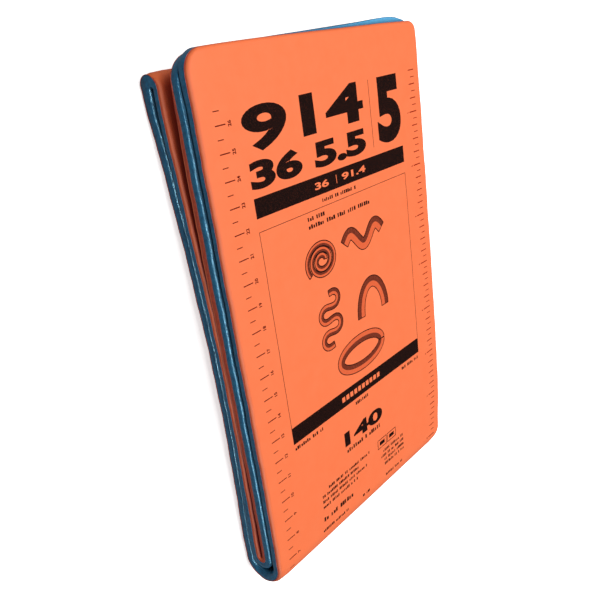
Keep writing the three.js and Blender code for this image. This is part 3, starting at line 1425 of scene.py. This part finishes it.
def rectangle(
    left: float, right: float, top: float, bottom: float, step: float = 4.0
) -> np.ndarray:
    """A plain rectangle on the print, as a grid.

    Args:
        left: Its left side.
        right: Its right side.
        top: Its top.
        bottom: Its bottom.
        step: How long the grid's cells are at most.

    Returns:
        The grid's points.
    """
    columns = max(2, int(math.ceil((right - left) / step)) + 1)
    rows = max(2, int(math.ceil((top - bottom) / step)) + 1)
    x, y = np.meshgrid(np.linspace(left, right, columns), np.linspace(bottom, top, rows))
    return np.stack([x, y], axis=-1)


def ruler_mark(left: float, right: float, y: float, width: float) -> np.ndarray:
    """A ruler's mark from left to right, with its middle at a height, as a grid."""
    return rectangle(left, right, y + width / 2, y - width / 2, MARK_STEP)


def stroke(points: np.ndarray, width: float, closed: bool = False) -> np.ndarray:
    """A line of even width along a path: the path moved half of the width to each side.

    At each point the move is across the mean of the two directions that meet there, and longer by
    one over the cosine of half of the turn, so the width stays even.

    Args:
        points: The path's points.
        width: The line's width.
        closed: Whether the path's last point joins its first.

    Returns:
        A grid of two columns.
    """
    if closed:
        points = np.concatenate((points, points[:1]))
    steps = np.diff(points, axis=0)
    steps /= np.linalg.norm(steps, axis=1, keepdims=True)
    before = np.concatenate((steps[-1:] if closed else steps[:1], steps))
    after = np.concatenate((steps, steps[:1] if closed else steps[-1:]))
    mean = before + after
    mean /= np.linalg.norm(mean, axis=1, keepdims=True)
    cosine = np.maximum((mean * after).sum(axis=1), LEAST_COSINE)
    across = np.stack([-mean[:, 1], mean[:, 0]], axis=1) * (width / 2 / cosine)[:, None]
    return np.stack([points - across, points + across], axis=1)


class Numeral(NamedTuple):
    """A plain number on the print.

    Attributes:
        text: Its digits.
        centre: Where its middle is.
        height: How tall its digits are.
        width: How wide it is, or None for the font's own width.
        weight: How much bolder than the font it is, as a share of the letters' size.
        turned: Whether it reads up the strip and not across it.
    """

    text: str
    centre: tuple[float, float]
    height: float
    width: Optional[float] = None
    weight: float = 0.03
    turned: bool = False

    def shape(self) -> tuple[np.ndarray, list[list[int]]]:
        """Makes the number in Blender's own font, cut small so that it can be wrapped.

        Returns:
            Its points and its faces.
        """
        curve = bpy.data.curves.new("numeral", "FONT")
        curve.body = self.text
        curve.resolution_u = WIDE_CURVE_STEPS if self.width else SMALL_CURVE_STEPS
        curve.offset = self.weight
        holder = bpy.data.objects.new("numeral", curve)
        bpy.context.scene.collection.objects.link(holder)
        bpy.context.view_layer.update()
        cut = bmesh.new()
        cut.from_mesh(holder.to_mesh())
        holder.to_mesh_clear()
        bpy.data.objects.remove(holder)
        bpy.data.curves.remove(curve)
        places = np.array([vertex.co[:2] for vertex in cut.verts])
        low, high = places.min(axis=0), places.max(axis=0)
        scale = np.full(2, self.height / (high[1] - low[1]))
        if self.width:
            scale[0] = self.width / (high[0] - low[0])
        for axis, across in enumerate((Vector((1, 0, 0)), Vector((0, 1, 0)))):
            step = CUT_STEP / scale[axis]
            for place in np.arange(low[axis] + step, high[axis], step):
                parts = cut.verts[:] + cut.edges[:] + cut.faces[:]
                bmesh.ops.bisect_plane(cut, geom=parts, plane_co=across * place, plane_no=across)
        cut.verts.index_update()
        points = np.array([vertex.co[:2] for vertex in cut.verts])
        faces = [[vertex.index for vertex in face.verts] for face in cut.faces]
        cut.free()
        points = (points - (low + high) / 2) * scale
        if self.turned:
            points = np.stack([-points[:, 1], points[:, 0]], axis=1)
        return points + np.asarray(self.centre), faces


@dataclass
class FrontFace:
    """The printed face of the front leaf, from the free end to the outer bend.

    Attributes:
        path: The strip's path.
        edges: The strip's edges.
        print_left: The x of the print's own left side, in the strip's frame.
        print_top: The y of its own zero.
        stretching: How far the print runs ahead, for each millimetre that the leaf drops.
        left_slip: How far it slips to the left at the outer bend.
        slip_reach: How far from the bend that starts.
    """

    path: FoldedPath
    edges: StripEdges
    print_left: float = -62.6
    print_top: float = 193.5
    stretching: float = 1.07
    left_slip: float = 1.0
    slip_reach: float = 25.0

    def wrapped(self, points: np.ndarray, lift: float) -> np.ndarray:
        """Wraps flat points onto the face.

        Above the outer bend the face follows the seam's height, and below it turns with the bend.
        Where the leaf turns down to the bend its foam is stretched: the print runs ahead there by
        the stretching times the drop, slips to the left, and is drawn in with the right edge.

        Args:
            points: Flat points, measured as the rulers are.
            lift: How far above the face they go.

        Returns:
            The points in the strip's frame.
        """
        s = self.path.sizes
        x = points[:, 0] + self.print_left
        y = points[:, 1] + self.print_top
        y = y - self.stretching * (self.path.front(np.float64(s.front_leaf)) - self.path.front(y))
        x = x - self.left_slip * np.clip(1 - y / self.slip_reach, 0, 1) ** 2
        share_across = (x + s.width / 2) / s.width
        x = x - self.edges.narrow(1 - y / s.front_leaf) * share_across
        radius = s.outer_bend_seam
        angle = np.minimum(y, 0) / (radius + s.orange_thickness)
        on_leaf = np.maximum(y, 0)
        step = self.path.slope_step
        slope = (self.path.front(on_leaf + step) - self.path.front(on_leaf - step)) / (2 * step)
        lean = np.arctan(slope) - angle
        normal = np.stack([-np.sin(lean), np.cos(lean)], axis=1)
        seam = np.stack([on_leaf, self.path.front(on_leaf)], axis=1)
        below = np.stack([np.sin(angle), np.cos(angle)], axis=1) * radius
        seam = np.where((y < 0)[:, None], below, seam)
        normal = np.where((y < 0)[:, None], below / radius, normal)
        length = s.front_leaf - y
        h = s.orange_thickness + lift + Ripple.face(x, length)
        return np.concatenate((x[:, None], seam + h[:, None] * normal), axis=1)


@dataclass
class Print:
    """One printed element: flat patches on the unrolled front leaf, wrapped onto its face.

    Its points are measured as the rulers are, x from the left ends of the long centimetre marks and
    y up the strip from near the first of them.

    Attributes:
        name: The piece's name.
        finish: Its material.
        slot: Its material slot, which is not used.
        lift: How far above the foam it lies.
        points: The patches' points, an array for each patch.
        faces: Their faces, as numbers of points.
        count: How many points there are.
    """

    name: str
    finish: bpy.types.Material
    slot: str = "print_ink"
    lift: float = INK_LIFT
    points: list[np.ndarray] = field(default_factory=list)
    faces: list[list[int]] = field(default_factory=list)
    count: int = 0

    def add(self, points: np.ndarray, faces: Sequence[Sequence[int]]) -> None:
        """Adds loose faces, each turned so that it faces out of the leaf.

        Args:
            points: Their points.
            faces: The faces, as numbers of these points.
        """
        for face in faces:
            x, y = points[list(face)].T
            area = (x * np.roll(y, -1) - y * np.roll(x, -1)).sum()
            numbers = [int(number) + self.count for number in face]
            self.faces.append(numbers if area > 0 else numbers[::-1])
        self.points.append(points)
        self.count += len(points)

    def add_grid(self, grid: np.ndarray) -> None:
        """Adds a grid patch."""
        rows, columns = grid.shape[:2]
        self.add(grid.reshape(-1, 2), grid_faces(rows, columns))

    def build(self, face: FrontFace, placement: Placement) -> bpy.types.Object:
        """Makes the element's piece.

        Args:
            face: The front leaf's face.
            placement: Where the strip lies.

        Returns:
            The piece.
        """
        spots = face.wrapped(np.concatenate(self.points), self.lift)
        piece = new_piece(self.name, placement.metres(spots), self.faces, smooth=True)
        piece.data.materials.append(self.finish)
        LOG.info("%s: %d faces", self.name, len(self.faces))
        return piece


@dataclass
class CentimetreRuler:
    """The ruler along the left edge, with a long mark and a number at each centimetre.

    Attributes:
        pitch: From one long mark to the next.
        first_mark: The y of the topmost.
        marks: How many long marks there are.
        long_mark: How long they are.
        short_mark: How long the short marks between them are.
        short_inset: How far to the right those start.
        long_width: How wide the long marks are.
        short_width: How wide the short marks are.
        first_number: The number at the topmost mark.
        number_place: The x of the numbers' middle.
        number_height: How tall they are.
    """

    pitch: float = 10.0
    first_mark: float = -0.4
    marks: int = 20
    long_mark: float = 5.0
    short_mark: float = 2.9
    short_inset: float = 0.1
    long_width: float = 0.42
    short_width: float = 0.34
    first_number: int = 26
    number_place: float = 6.9
    number_height: float = 1.7

    def draw(self, ink: Print) -> None:
        """Draws the long marks with their numbers, and a short mark before and after each.

        Args:
            ink: The print that they go into.
        """
        for index in range(self.marks):
            y = self.first_mark - index * self.pitch
            ink.add_grid(ruler_mark(0, self.long_mark, y, self.long_width))
            label = str(self.first_number - index)
            number = Numeral(label, (self.number_place, y), self.number_height, turned=True)
            ink.add(*number.shape())
        left = self.short_inset
        for index in range(self.marks + 1):
            y = self.first_mark + (0.5 - index) * self.pitch
            ink.add_grid(ruler_mark(left, left + self.short_mark, y, self.short_width))


@dataclass
class InchRuler:
    """The ruler along the right edge, with marks at each eighth of an inch.

    Attributes:
        inch: An inch in millimetres.
        parts: How many marks an inch has.
        first_inch: The y of the first whole inch.
        marks_above: How many marks are above it.
        marks_below: How many are below it.
        right_end: Where every mark ends.
        inch_mark: How long the marks at whole inches are.
        quarter_mark: How long those at the quarters are.
        eighth_mark: How long those at the eighths are.
        inch_width: How wide the marks at whole inches are.
        quarter_width: How wide those at the quarters are.
        eighth_width: How wide those at the eighths are.
        number_place: The x of the numbers' middle.
        number_height: How tall they are.
    """

    inch: float = 25.4
    parts: int = 8
    first_inch: float = -15.62
    marks_above: int = 6
    marks_below: int = 56
    right_end: float = 127.0
    inch_mark: float = 5.7
    quarter_mark: float = 4.6
    eighth_mark: float = 3.0
    inch_width: float = 0.52
    quarter_width: float = 0.46
    eighth_width: float = 0.36
    number_place: float = 119.9
    number_height: float = 1.1

    def draw(self, ink: Print) -> None:
        """Draws the marks, and a number at each inch.

        Args:
            ink: The print that they go into.
        """
        for index in range(-self.marks_above, self.marks_below + 1):
            y = self.first_inch - index * self.inch / self.parts
            length, width = self.eighth_mark, self.eighth_width
            if index % 2 == 0:
                length, width = self.quarter_mark, self.quarter_width
            if index % self.parts == 0:
                length, width = self.inch_mark, self.inch_width
                label = str(index // self.parts + 1)
                number = Numeral(label, (self.number_place, y), self.number_height, turned=True)
                ink.add(*number.shape())
            ink.add_grid(ruler_mark(self.right_end - length, self.right_end, y, width))


@dataclass
class BarsAndFrame:
    """The two black bars, the thin frame between them and the thin upright rule.

    Attributes:
        left: The left side of the bars and the frame.
        right: Their right side.
        upper_top: The top of the upper bar.
        upper_bottom: Its bottom.
        frame_top: The frame's top.
        lower_top: The top of the lower bar, which the frame ends on.
        lower_bottom: Its bottom.
        frame_width: How wide the frame's line is.
        leg_steps: How many steps each of its three legs has.
        rule_place: The x of the rule's middle.
        rule_top: Its top.
        rule_bottom: Its bottom.
        rule_width: How wide it is.
    """

    left: float = 12.5
    right: float = 113.4
    upper_top: float = -29.6
    upper_bottom: float = -37.4
    frame_top: float = -42.6
    lower_top: float = -130.4
    lower_bottom: float = -138.4
    frame_width: float = 0.22
    leg_steps: int = 24
    rule_place: float = 90.5
    rule_top: float = 3.4
    rule_bottom: float = -26.0
    rule_width: float = 0.2

    def draw(self, ink: Print) -> None:
        """Draws the bars, the frame's left side, top and right side, and the rule.

        Args:
            ink: The print that they go into.
        """
        ink.add_grid(rectangle(self.left, self.right, self.upper_top, self.upper_bottom))
        ink.add_grid(rectangle(self.left, self.right, self.lower_top, self.lower_bottom))
        half = self.frame_width / 2
        corners = [
            (self.left + half, self.lower_top),
            (self.left + half, self.frame_top - half),
            (self.right - half, self.frame_top - half),
            (self.right - half, self.lower_top),
        ]
        legs = [
            np.linspace(start, end, self.leg_steps, endpoint=False)
            for start, end in zip(corners[:-1], corners[1:])
        ]
        route = np.concatenate(legs + [np.array([corners[-1]])])
        ink.add_grid(stroke(route, self.frame_width))
        left = self.rule_place - self.rule_width / 2
        right = self.rule_place + self.rule_width / 2
        ink.add_grid(rectangle(left, right, self.rule_top, self.rule_bottom))


@dataclass(frozen=True)
class TextBlock:
    """A place of small print, filled with blocks of letter size instead of letters.

    Attributes:
        left: Its left side.
        right: Its right side.
        top: The top of its first line.
        height: How tall its capitals are.
        lines: How many lines it has.
        pitch: From one line to the next.
        flush_right: Whether its lines end at its right side, and not start at its left.
    """

    left: float
    right: float
    top: float
    height: float
    lines: int = 1
    pitch: float = 2.75
    flush_right: bool = False


@dataclass
class SmallPrint:
    """Every place of small print. Its letters are replaced by blocks in rows of word length.

    Attributes:
        blocks: The places.
        seed: Where the random draws start.
        letter_share: How wide a block is, as a share of its line's height.
        gap_share: How wide the gap after it is.
        ragged: How much shorter than its place a line may be.
        least_letters: How many letters a line has at least.
        word_lengths: The shortest word, and one more than the longest.
        width_shares: The narrowest and the widest block, as shares of the usual one.
        height_shares: The blocks' heights, as shares of the line's, one of which is drawn.
    """

    blocks: tuple[TextBlock, ...] = (
        TextBlock(51, 74.5, -39.3, 1.5),
        TextBlock(40.5, 52.5, -44.8, 1.7),
        TextBlock(40.5, 85, -48, 1.8),
        TextBlock(13, 33, -140, 1.6),
        TextBlock(57, 69, -140, 1.6),
        TextBlock(97, 113, -140, 1.6),
        TextBlock(47, 76, -160.6, 2.0),
        TextBlock(31, 65, -171, 1.4),
        TextBlock(26, 62, -173.8, 1.4, lines=3),
        TextBlock(26, 51, -185.4, 2.2),
        TextBlock(72, 96.5, -177, 1.4, lines=4, pitch=2.6, flush_right=True),
        TextBlock(25, 46, -191.6, 1.3),
        TextBlock(57, 64, -191.6, 1.3),
        TextBlock(78, 94, -191.6, 1.3),
    )
    seed: int = 12
    letter_share: float = 0.62
    gap_share: float = 0.2
    ragged: float = 0.22
    least_letters: int = 3
    word_lengths: tuple[int, int] = (2, 9)
    width_shares: tuple[float, float] = (0.6, 1.1)
    height_shares: tuple[float, float, float] = (0.72, 1.0, 1.0)

    def draw(self, ink: Print) -> None:
        """Draws each line as a row of blocks, some of them low, with a space after each word.

        Args:
            ink: The print that they go into.
        """
        rng = np.random.default_rng(self.seed)
        for block in self.blocks:
            advance = block.height * (self.letter_share + self.gap_share)
            for line in range(block.lines):
                length = block.right - block.left
                if block.lines > 1:
                    length *= 1 - self.ragged * rng.random()
                count = max(self.least_letters, int(length / advance))
                words = np.cumsum(rng.integers(*self.word_lengths, count))
                spots = np.setdiff1d(np.arange(count), words)
                start = block.right - length if block.flush_right else block.left
                left = start + spots * advance
                usual = block.height * self.letter_share
                width = usual * rng.uniform(*self.width_shares, len(spots))
                bottom = np.full(len(spots), block.top - block.height - line * block.pitch)
                height = block.height * rng.choice(self.height_shares, len(spots))
                self.tiles(ink, left, left + width, bottom, bottom + height)

    @staticmethod
    def tiles(
        ink: Print, left: np.ndarray, right: np.ndarray, bottom: np.ndarray, top: np.ndarray
    ) -> None:
        """Draws many rectangles at once.

        Args:
            ink: The print that they go into.
            left: Their left sides.
            right: Their right sides.
            bottom: Their bottoms.
            top: Their tops.
        """
        sides = ((left, bottom), (right, bottom), (right, top), (left, top))
        corners = np.stack([np.stack(corner, axis=1) for corner in sides], axis=1)
        ink.add(corners.reshape(-1, 2), np.arange(4 * len(left)).reshape(-1, 4))


@dataclass
class BigNumbers:
    """Plain numbers in the places of the big lettering, as bold as it: sizes in mm and inches.

    Attributes:
        numbers: The numbers.
        box_lefts: The left sides of the two small boxes.
        box_top: Their top.
        box_width: How wide they are.
        box_height: How tall they are.
        box_line: How wide their lines are.
        bar_inset: How far inside a box its bar is, across and up.
    """

    numbers: tuple[Numeral, ...] = (
        Numeral("914", (49, -4.6), 16.8, 73, 0.035),
        Numeral("36 5.5", (48.7, -21.2), 11, 72.5, 0.05),
        Numeral("5", (104.3, -11.2), 29.5, 18.5, 0.05),
        Numeral("140", (61.5, -155.3), 7.5, 31, 0.04),
    )
    box_lefts: tuple[float, float] = (71.5, 80.0)
    box_top: float = -170.0
    box_width: float = 7.5
    box_height: float = 4.6
    box_line: float = 0.35
    bar_inset: tuple[float, float] = (1.6, 1.3)

    def draw(self, ink: Print) -> None:
        """Draws the numbers, and two small boxes that each hold a bar.

        Args:
            ink: The print that they go into.
        """
        for number in self.numbers:
            ink.add(*number.shape())
        top, bottom = self.box_top, self.box_top - self.box_height
        in_across, in_up = self.bar_inset
        for left in self.box_lefts:
            right = left + self.box_width
            box = np.array([(left, top), (left, bottom), (right, bottom), (right, top)])
            ink.add_grid(stroke(box, self.box_line, closed=True))
            bar = rectangle(left + in_across, right - in_across, top - in_up, bottom + in_up)
            ink.add_grid(bar)


@dataclass
class KnockedOut:
    """Marks that the bars' ink leaves out, so that the orange foam shows.

    Attributes:
        numbers: The numbers in the upper bar.
        rule_left: The left side of the rule between them.
        rule_width: How wide it is.
        rule_top: Its top.
        rule_height: How tall it is.
        row: Where the row of blocks in the lower bar starts, and where it ends.
        block_pitch: From one block to the next.
        block_width: How wide a block is.
        block_bottom: The blocks' bottom.
        block_height: How tall they are.
    """

    numbers: tuple[Numeral, ...] = (
        Numeral("36", (52, -33.5), 3.0, 9.0),
        Numeral("91.4", (74, -33.5), 3.0, 17.0),
    )
    rule_left: float = 61.6
    rule_width: float = 0.35
    rule_top: float = -31.7
    rule_height: float = 3.6
    row: tuple[float, float] = (47.5, 78.0)
    block_pitch: float = 3.1
    block_width: float = 2.2
    block_bottom: float = -135.7
    block_height: float = 2.5

    def draw(self, ink: Print) -> None:
        """Draws two numbers with a rule between them, and a row of blocks.

        Args:
            ink: The print that they go into.
        """
        for number in self.numbers:
            ink.add(*number.shape())
        right, bottom = self.rule_left + self.rule_width, self.rule_top - self.rule_height
        ink.add_grid(rectangle(self.rule_left, right, self.rule_top, bottom))
        left = np.arange(*self.row, self.block_pitch)
        low = np.full(len(left), self.block_bottom)
        SmallPrint.tiles(ink, left, left + self.block_width, low, low + self.block_height)


@dataclass(frozen=True)
class Ribbon:
    """A drawn strip: a band along a path, its shaded half, and a line along each side.

    Attributes:
        path: The middle of the band.
        width: How wide the band is.
        shade_from: Where the shaded part starts across it: 0 is the left side, 1 the right.
        end_points: How many points the line across each end has.
    """

    path: np.ndarray
    width: float
    shade_from: float = 0.5
    end_points: int = 4

    def draw(self, fill: Print, shade: Print, line: Print, weight: float) -> None:
        """Draws the band.

        Args:
            fill: The print that its fill goes into.
            shade: The print that its shade goes into.
            line: The print that its lines go into.
            weight: How wide those lines are.
        """
        edges = stroke(self.path, self.width)
        left, right = edges[:, 0], edges[:, 1]
        start = left + (right - left) * self.shade_from
        fill.add_grid(np.stack([left, (left + right) / 2, right], axis=1))
        shade.add_grid(np.stack([start, right], axis=1))
        for side in (left, right):
            line.add_grid(stroke(side, weight))
        for end in (edges[0], edges[-1]):
            line.add_grid(stroke(np.linspace(end[0], end[1], self.end_points), weight))


@dataclass
class FoldingMotifs:
    """Generic drawings of a strip in the frame: rolled, waved, winding, arched and in a ring.

    Each has a centre, a width of its band, and sizes and turns of its own, in millimetres on the
    print. A pair is across the print, and then up it: the arch's is half of its width and its
    height, and the ring's is half of each.
    """

    weight: float = 0.42
    samples: int = 90
    roll_centre: tuple[float, float] = (46, -65)
    roll_core: tuple[float, float] = (2.2, 1.8)
    roll_growth: tuple[float, float] = (7.8, 6.6)
    roll_turns: float = 2.6
    roll_width: float = 2.3
    wave_centre: tuple[float, float] = (76, -63)
    wave_length: float = 28
    wave_height: float = 3.6
    wave_turns: float = 1.5
    wave_width: float = 5.6
    wave_shade: float = 0.55
    winding_centre: tuple[float, float] = (47, -93)
    winding_length: float = 66
    winding_swing: float = 1.75
    winding_turns: float = 2.0
    winding_width: float = 3.0
    arch_centre: tuple[float, float] = (78, -92)
    arch_size: tuple[float, float] = (9.5, 15)
    arch_drop: float = 9
    arch_width: float = 5.4
    ring_centre: tuple[float, float] = (66, -117)
    ring_size: tuple[float, float] = (16, 6.8)
    ring_width: float = 4.6

    @property
    def share(self) -> np.ndarray:
        """How far along its path each point of a motif is, from 0 to 1."""
        return np.linspace(0, 1, self.samples)

    @staticmethod
    def path(centre: tuple[float, float], across: np.ndarray, up: np.ndarray) -> np.ndarray:
        """A path round a centre, from how far its points are across and up from there."""
        return np.stack([centre[0] + across, centre[1] + up], axis=1)

    def roll(self) -> np.ndarray:
        """A spiral, whose two radii grow evenly as it turns.

        Returns:
            Its path.
        """
        angle = 2 * np.pi * self.roll_turns * self.share
        across, up = (
            core + growth * self.share for core, growth in zip(self.roll_core, self.roll_growth)
        )
        return self.path(self.roll_centre, across * np.cos(angle), up * np.sin(angle))

    def wave(self) -> np.ndarray:
        """A sine.

        Returns:
            Its path.
        """
        across = self.wave_length * (self.share - 0.5)
        up = self.wave_height * np.sin(2 * np.pi * self.wave_turns * self.share)
        return self.path(self.wave_centre, across, up)

    def winding(self) -> np.ndarray:
        """A meander, which heads down and swings with the cosine of the way along it.

        Returns:
            Its path.
        """
        heading = self.winding_swing * np.cos(2 * np.pi * self.winding_turns * self.share)
        step = self.winding_length / self.samples
        spots = np.cumsum(np.stack([np.sin(heading), -np.cos(heading)], axis=1) * step, axis=0)
        across, up = (spots - (spots.min(axis=0) + spots.max(axis=0)) / 2).T
        return self.path(self.winding_centre, across, up)

    def arch(self) -> np.ndarray:
        """The upper half of an ellipse.

        Returns:
            Its path.
        """
        half_width, height = self.arch_size
        across = -half_width * np.cos(np.pi * self.share)
        up = height * np.sin(np.pi * self.share) - self.arch_drop
        return self.path(self.arch_centre, across, up)

    def ring(self) -> np.ndarray:
        """An ellipse, closed by the line across its ends.

        Returns:
            Its path.
        """
        angle = 2 * np.pi * self.share
        half_width, half_height = self.ring_size
        return self.path(self.ring_centre, half_width * np.cos(angle), half_height * np.sin(angle))

    def draw(self, fill: Print, shade: Print, line: Print) -> None:
        """Draws each motif as a ribbon.

        Args:
            fill: The print that the fills go into.
            shade: The print that the shades go into.
            line: The print that the lines go into.
        """
        for ribbon in (
            Ribbon(self.roll(), self.roll_width),
            Ribbon(self.wave(), self.wave_width, self.wave_shade),
            Ribbon(self.winding(), self.winding_width),
            Ribbon(self.arch(), self.arch_width),
            Ribbon(self.ring(), self.ring_width),
        ):
            ribbon.draw(fill, shade, line, self.weight)


@dataclass(frozen=True)
class SoftBox:
    """An area light that looks at the middle of the splint.

    Attributes:
        name: Its name.
        place: Where it hangs, in millimetres.
        along: The direction of its longer side.
        length: How long that side is.
        width: How long the other side is.
        power: Its power in watts.
        diffuse: Whether it lights the foam, or only shines in it.
        colour: Its colour.
    """

    name: str
    place: tuple[float, float, float]
    along: tuple[float, float, float]
    length: float
    width: float
    power: float
    diffuse: bool = True
    colour: str = "#FFFFFF"

    def build(self) -> None:
        """Hangs the light."""
        light = bpy.data.lights.new(self.name, "AREA")
        light.color = linear(self.colour)[:3]
        light.shape = "RECTANGLE"
        light.energy = self.power
        light.size = self.length * MM
        light.size_y = self.width * MM
        holder = bpy.data.objects.new(self.name, light)
        bpy.context.scene.collection.objects.link(holder)
        back = Vector(self.place).normalized()
        across = back.cross(Vector(self.along)).normalized()
        turn = Matrix((across.cross(back), across, back)).transposed().to_4x4()
        holder.matrix_world = Matrix.Translation(Vector(self.place) * MM) @ turn
        holder.visible_diffuse = self.diffuse


@dataclass
class Studio:
    """A plain pale floor, soft light and the camera of the photo.

    The camera's place, its direction and its lens were worked out from the marks of the printed
    rulers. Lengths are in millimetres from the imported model's origin.

    Attributes:
        camera_place: Where the camera is.
        camera_forward: The direction that it looks in.
        camera_up: The direction of its upper side.
        focal_pixels: Its focal length in the photo's pixels.
        picture_pixels: How wide the photo is.
        sensor: How wide the camera's sensor is.
        near_clip: How near to the camera things still show, in metres.
        floor_colour: The floor's colour.
        floor_glow: How much light of its own the floor has.
        floor_roughness: How rough it is.
        floor_size: How wide it is.
        world_colour: The colour of the light from all round.
        world_strength: How strong that light is.
        lights: The soft lights.
    """

    camera_place: tuple[float, float, float] = (-220.75, 108.44, 211.75)
    camera_forward: tuple[float, float, float] = (0.6674, -0.3432, -0.6609)
    camera_up: tuple[float, float, float] = (0.3544, 0.9269, -0.1235)
    focal_pixels: float = 674.14
    picture_pixels: float = 600.0
    sensor: float = 36.0
    near_clip: float = 0.01
    floor_colour: str = "#FCFCFC"
    floor_glow: float = 0.65
    floor_roughness: float = 0.9
    floor_size: float = 6000.0
    world_colour: str = "#FFFFFF"
    world_strength: float = 0.24
    lights: tuple[SoftBox, ...] = (
        SoftBox(
            name="key",
            place=(130.0, 200.0, 1200.0),
            along=(0.0, 1.0, 0.0),
            length=1500.0,
            width=1500.0,
            power=18.0,
        ),
        SoftBox(
            name="shine",
            place=(-625.0, -300.0, 490.0),
            along=(0.27, -0.94, -0.21),
            length=1100.0,
            width=60.0,
            power=8.0,
            diffuse=False,
            colour="#A4E4FF",
        ),
    )

    def build(self) -> None:
        """Builds the lights, the world, the floor and the camera."""
        for light in self.lights:
            light.build()
        self.add_world()
        self.add_floor()
        self.add_camera()
        bpy.context.scene.view_settings.view_transform = "Standard"

    def add_world(self) -> None:
        """Lights the scene evenly from all round."""
        world = bpy.data.worlds.new("studio")
        world.use_nodes = True
        background = world.node_tree.nodes["Background"]
        background.inputs["Color"].default_value = linear(self.world_colour)
        background.inputs["Strength"].default_value = self.world_strength
        bpy.context.scene.world = world

    def add_floor(self) -> None:
        """Lays the floor under the splint. The camera sees it, and the splint's foam doesn't."""
        half = self.floor_size / 2 * MM
        mesh = bpy.data.meshes.new("floor")
        corners = [(-half, -half, 0), (half, -half, 0), (half, half, 0), (-half, half, 0)]
        mesh.from_pydata(corners, [], [(0, 1, 2, 3)])
        floor = bpy.data.objects.new("floor", mesh)
        bpy.context.scene.collection.objects.link(floor)
        material, tree = new_material("white_paper_sweep")
        surface = add_node(
            tree,
            "ShaderNodeBsdfPrincipled",
            {
                "Base Color": linear(self.floor_colour),
                "Roughness": self.floor_roughness,
                "Emission Color": linear(self.floor_colour),
                "Emission Strength": self.floor_glow,
            },
        ).outputs[0]
        add_node(tree, "ShaderNodeOutputMaterial", links={"Surface": surface})
        mesh.materials.append(material)
        floor.visible_diffuse = floor.visible_glossy = False

    def add_camera(self) -> None:
        """Sets the camera where the photo was taken from."""
        forward = Vector(self.camera_forward).normalized()
        right = forward.cross(Vector(self.camera_up)).normalized()
        up = right.cross(forward)
        data = bpy.data.cameras.new("photo_camera")
        data.sensor_width = self.sensor
        data.lens = self.focal_pixels / self.picture_pixels * self.sensor
        data.clip_start = self.near_clip
        camera = bpy.data.objects.new("photo_camera", data)
        bpy.context.scene.collection.objects.link(camera)
        turn = Matrix((right, up, -forward)).transposed().to_4x4()
        camera.matrix_world = Matrix.Translation(Vector(self.camera_place) * MM) @ turn
        bpy.context.scene.camera = camera


def main() -> None:
    """Builds the foams, the print on them and the studio, in that order."""
    logging.basicConfig(level=logging.INFO, format="%(name)s: %(message)s")
    sizes = StripSizes()
    path = FoldedPath(sizes)
    edges = StripEdges(sizes)
    layers = [
        FoamLayer(
            name="orange_foam_skin",
            node="orange_foam",
            slot="orange_foam",
            side=Side.ORANGE,
            thickness=sizes.orange_thickness,
            arris=edges.arris,
            finish=ORANGE_FOAM,
            path=path,
            edges=edges,
        ),
        FoamLayer(
            name="blue_foam_skin",
            node="blue_foam",
            slot="blue_foam",
            side=Side.BLUE,
            thickness=sizes.blue_thickness,
            arris=edges.rim("blue_arris"),
            finish=BLUE_FOAM,
            path=path,
            edges=edges,
            # The blue rim takes the cut edges' painted-shade colour almost up to its face.
            rim_from=0.0,
            rim_to=0.02,
            arris_power=1.25,
        ),
    ]
    placement = Placement(path.resting_lean())
    placement.fit([layer.points for layer in layers])
    skins = [layer.build(placement) for layer in layers]

    face = FrontFace(path, edges)
    black = BLACK_INK.material()
    bare = skins[0].data.materials[0]
    for drawing, element in (
        (CentimetreRuler(), Print("centimetre_ruler", RULER_INK.material())),
        (InchRuler(), Print("inch_ruler", THIN_RULER_INK.material())),
        (BarsAndFrame(), Print("printed_bars_and_frame", black)),
        (BigNumbers(), Print("printed_numbers", black)),
        (SmallPrint(), Print("printed_small_blocks", black)),
        (KnockedOut(), Print("foam_left_bare_in_bars", bare, "orange_foam", BARE_LIFT)),
    ):
        drawing.draw(element)
        element.build(face, placement)
    motif_prints = (
        Print("motif_fills", PALE_INK.material(), lift=FILL_LIFT),
        Print("motif_shades", BROWN_INK.material()),
        Print("motif_lines", black, lift=LINE_LIFT),
    )
    FoldingMotifs().draw(*motif_prints)
    for element in motif_prints:
        element.build(face, placement)
    Studio().build()


if __name__ == "__main__":
    main()
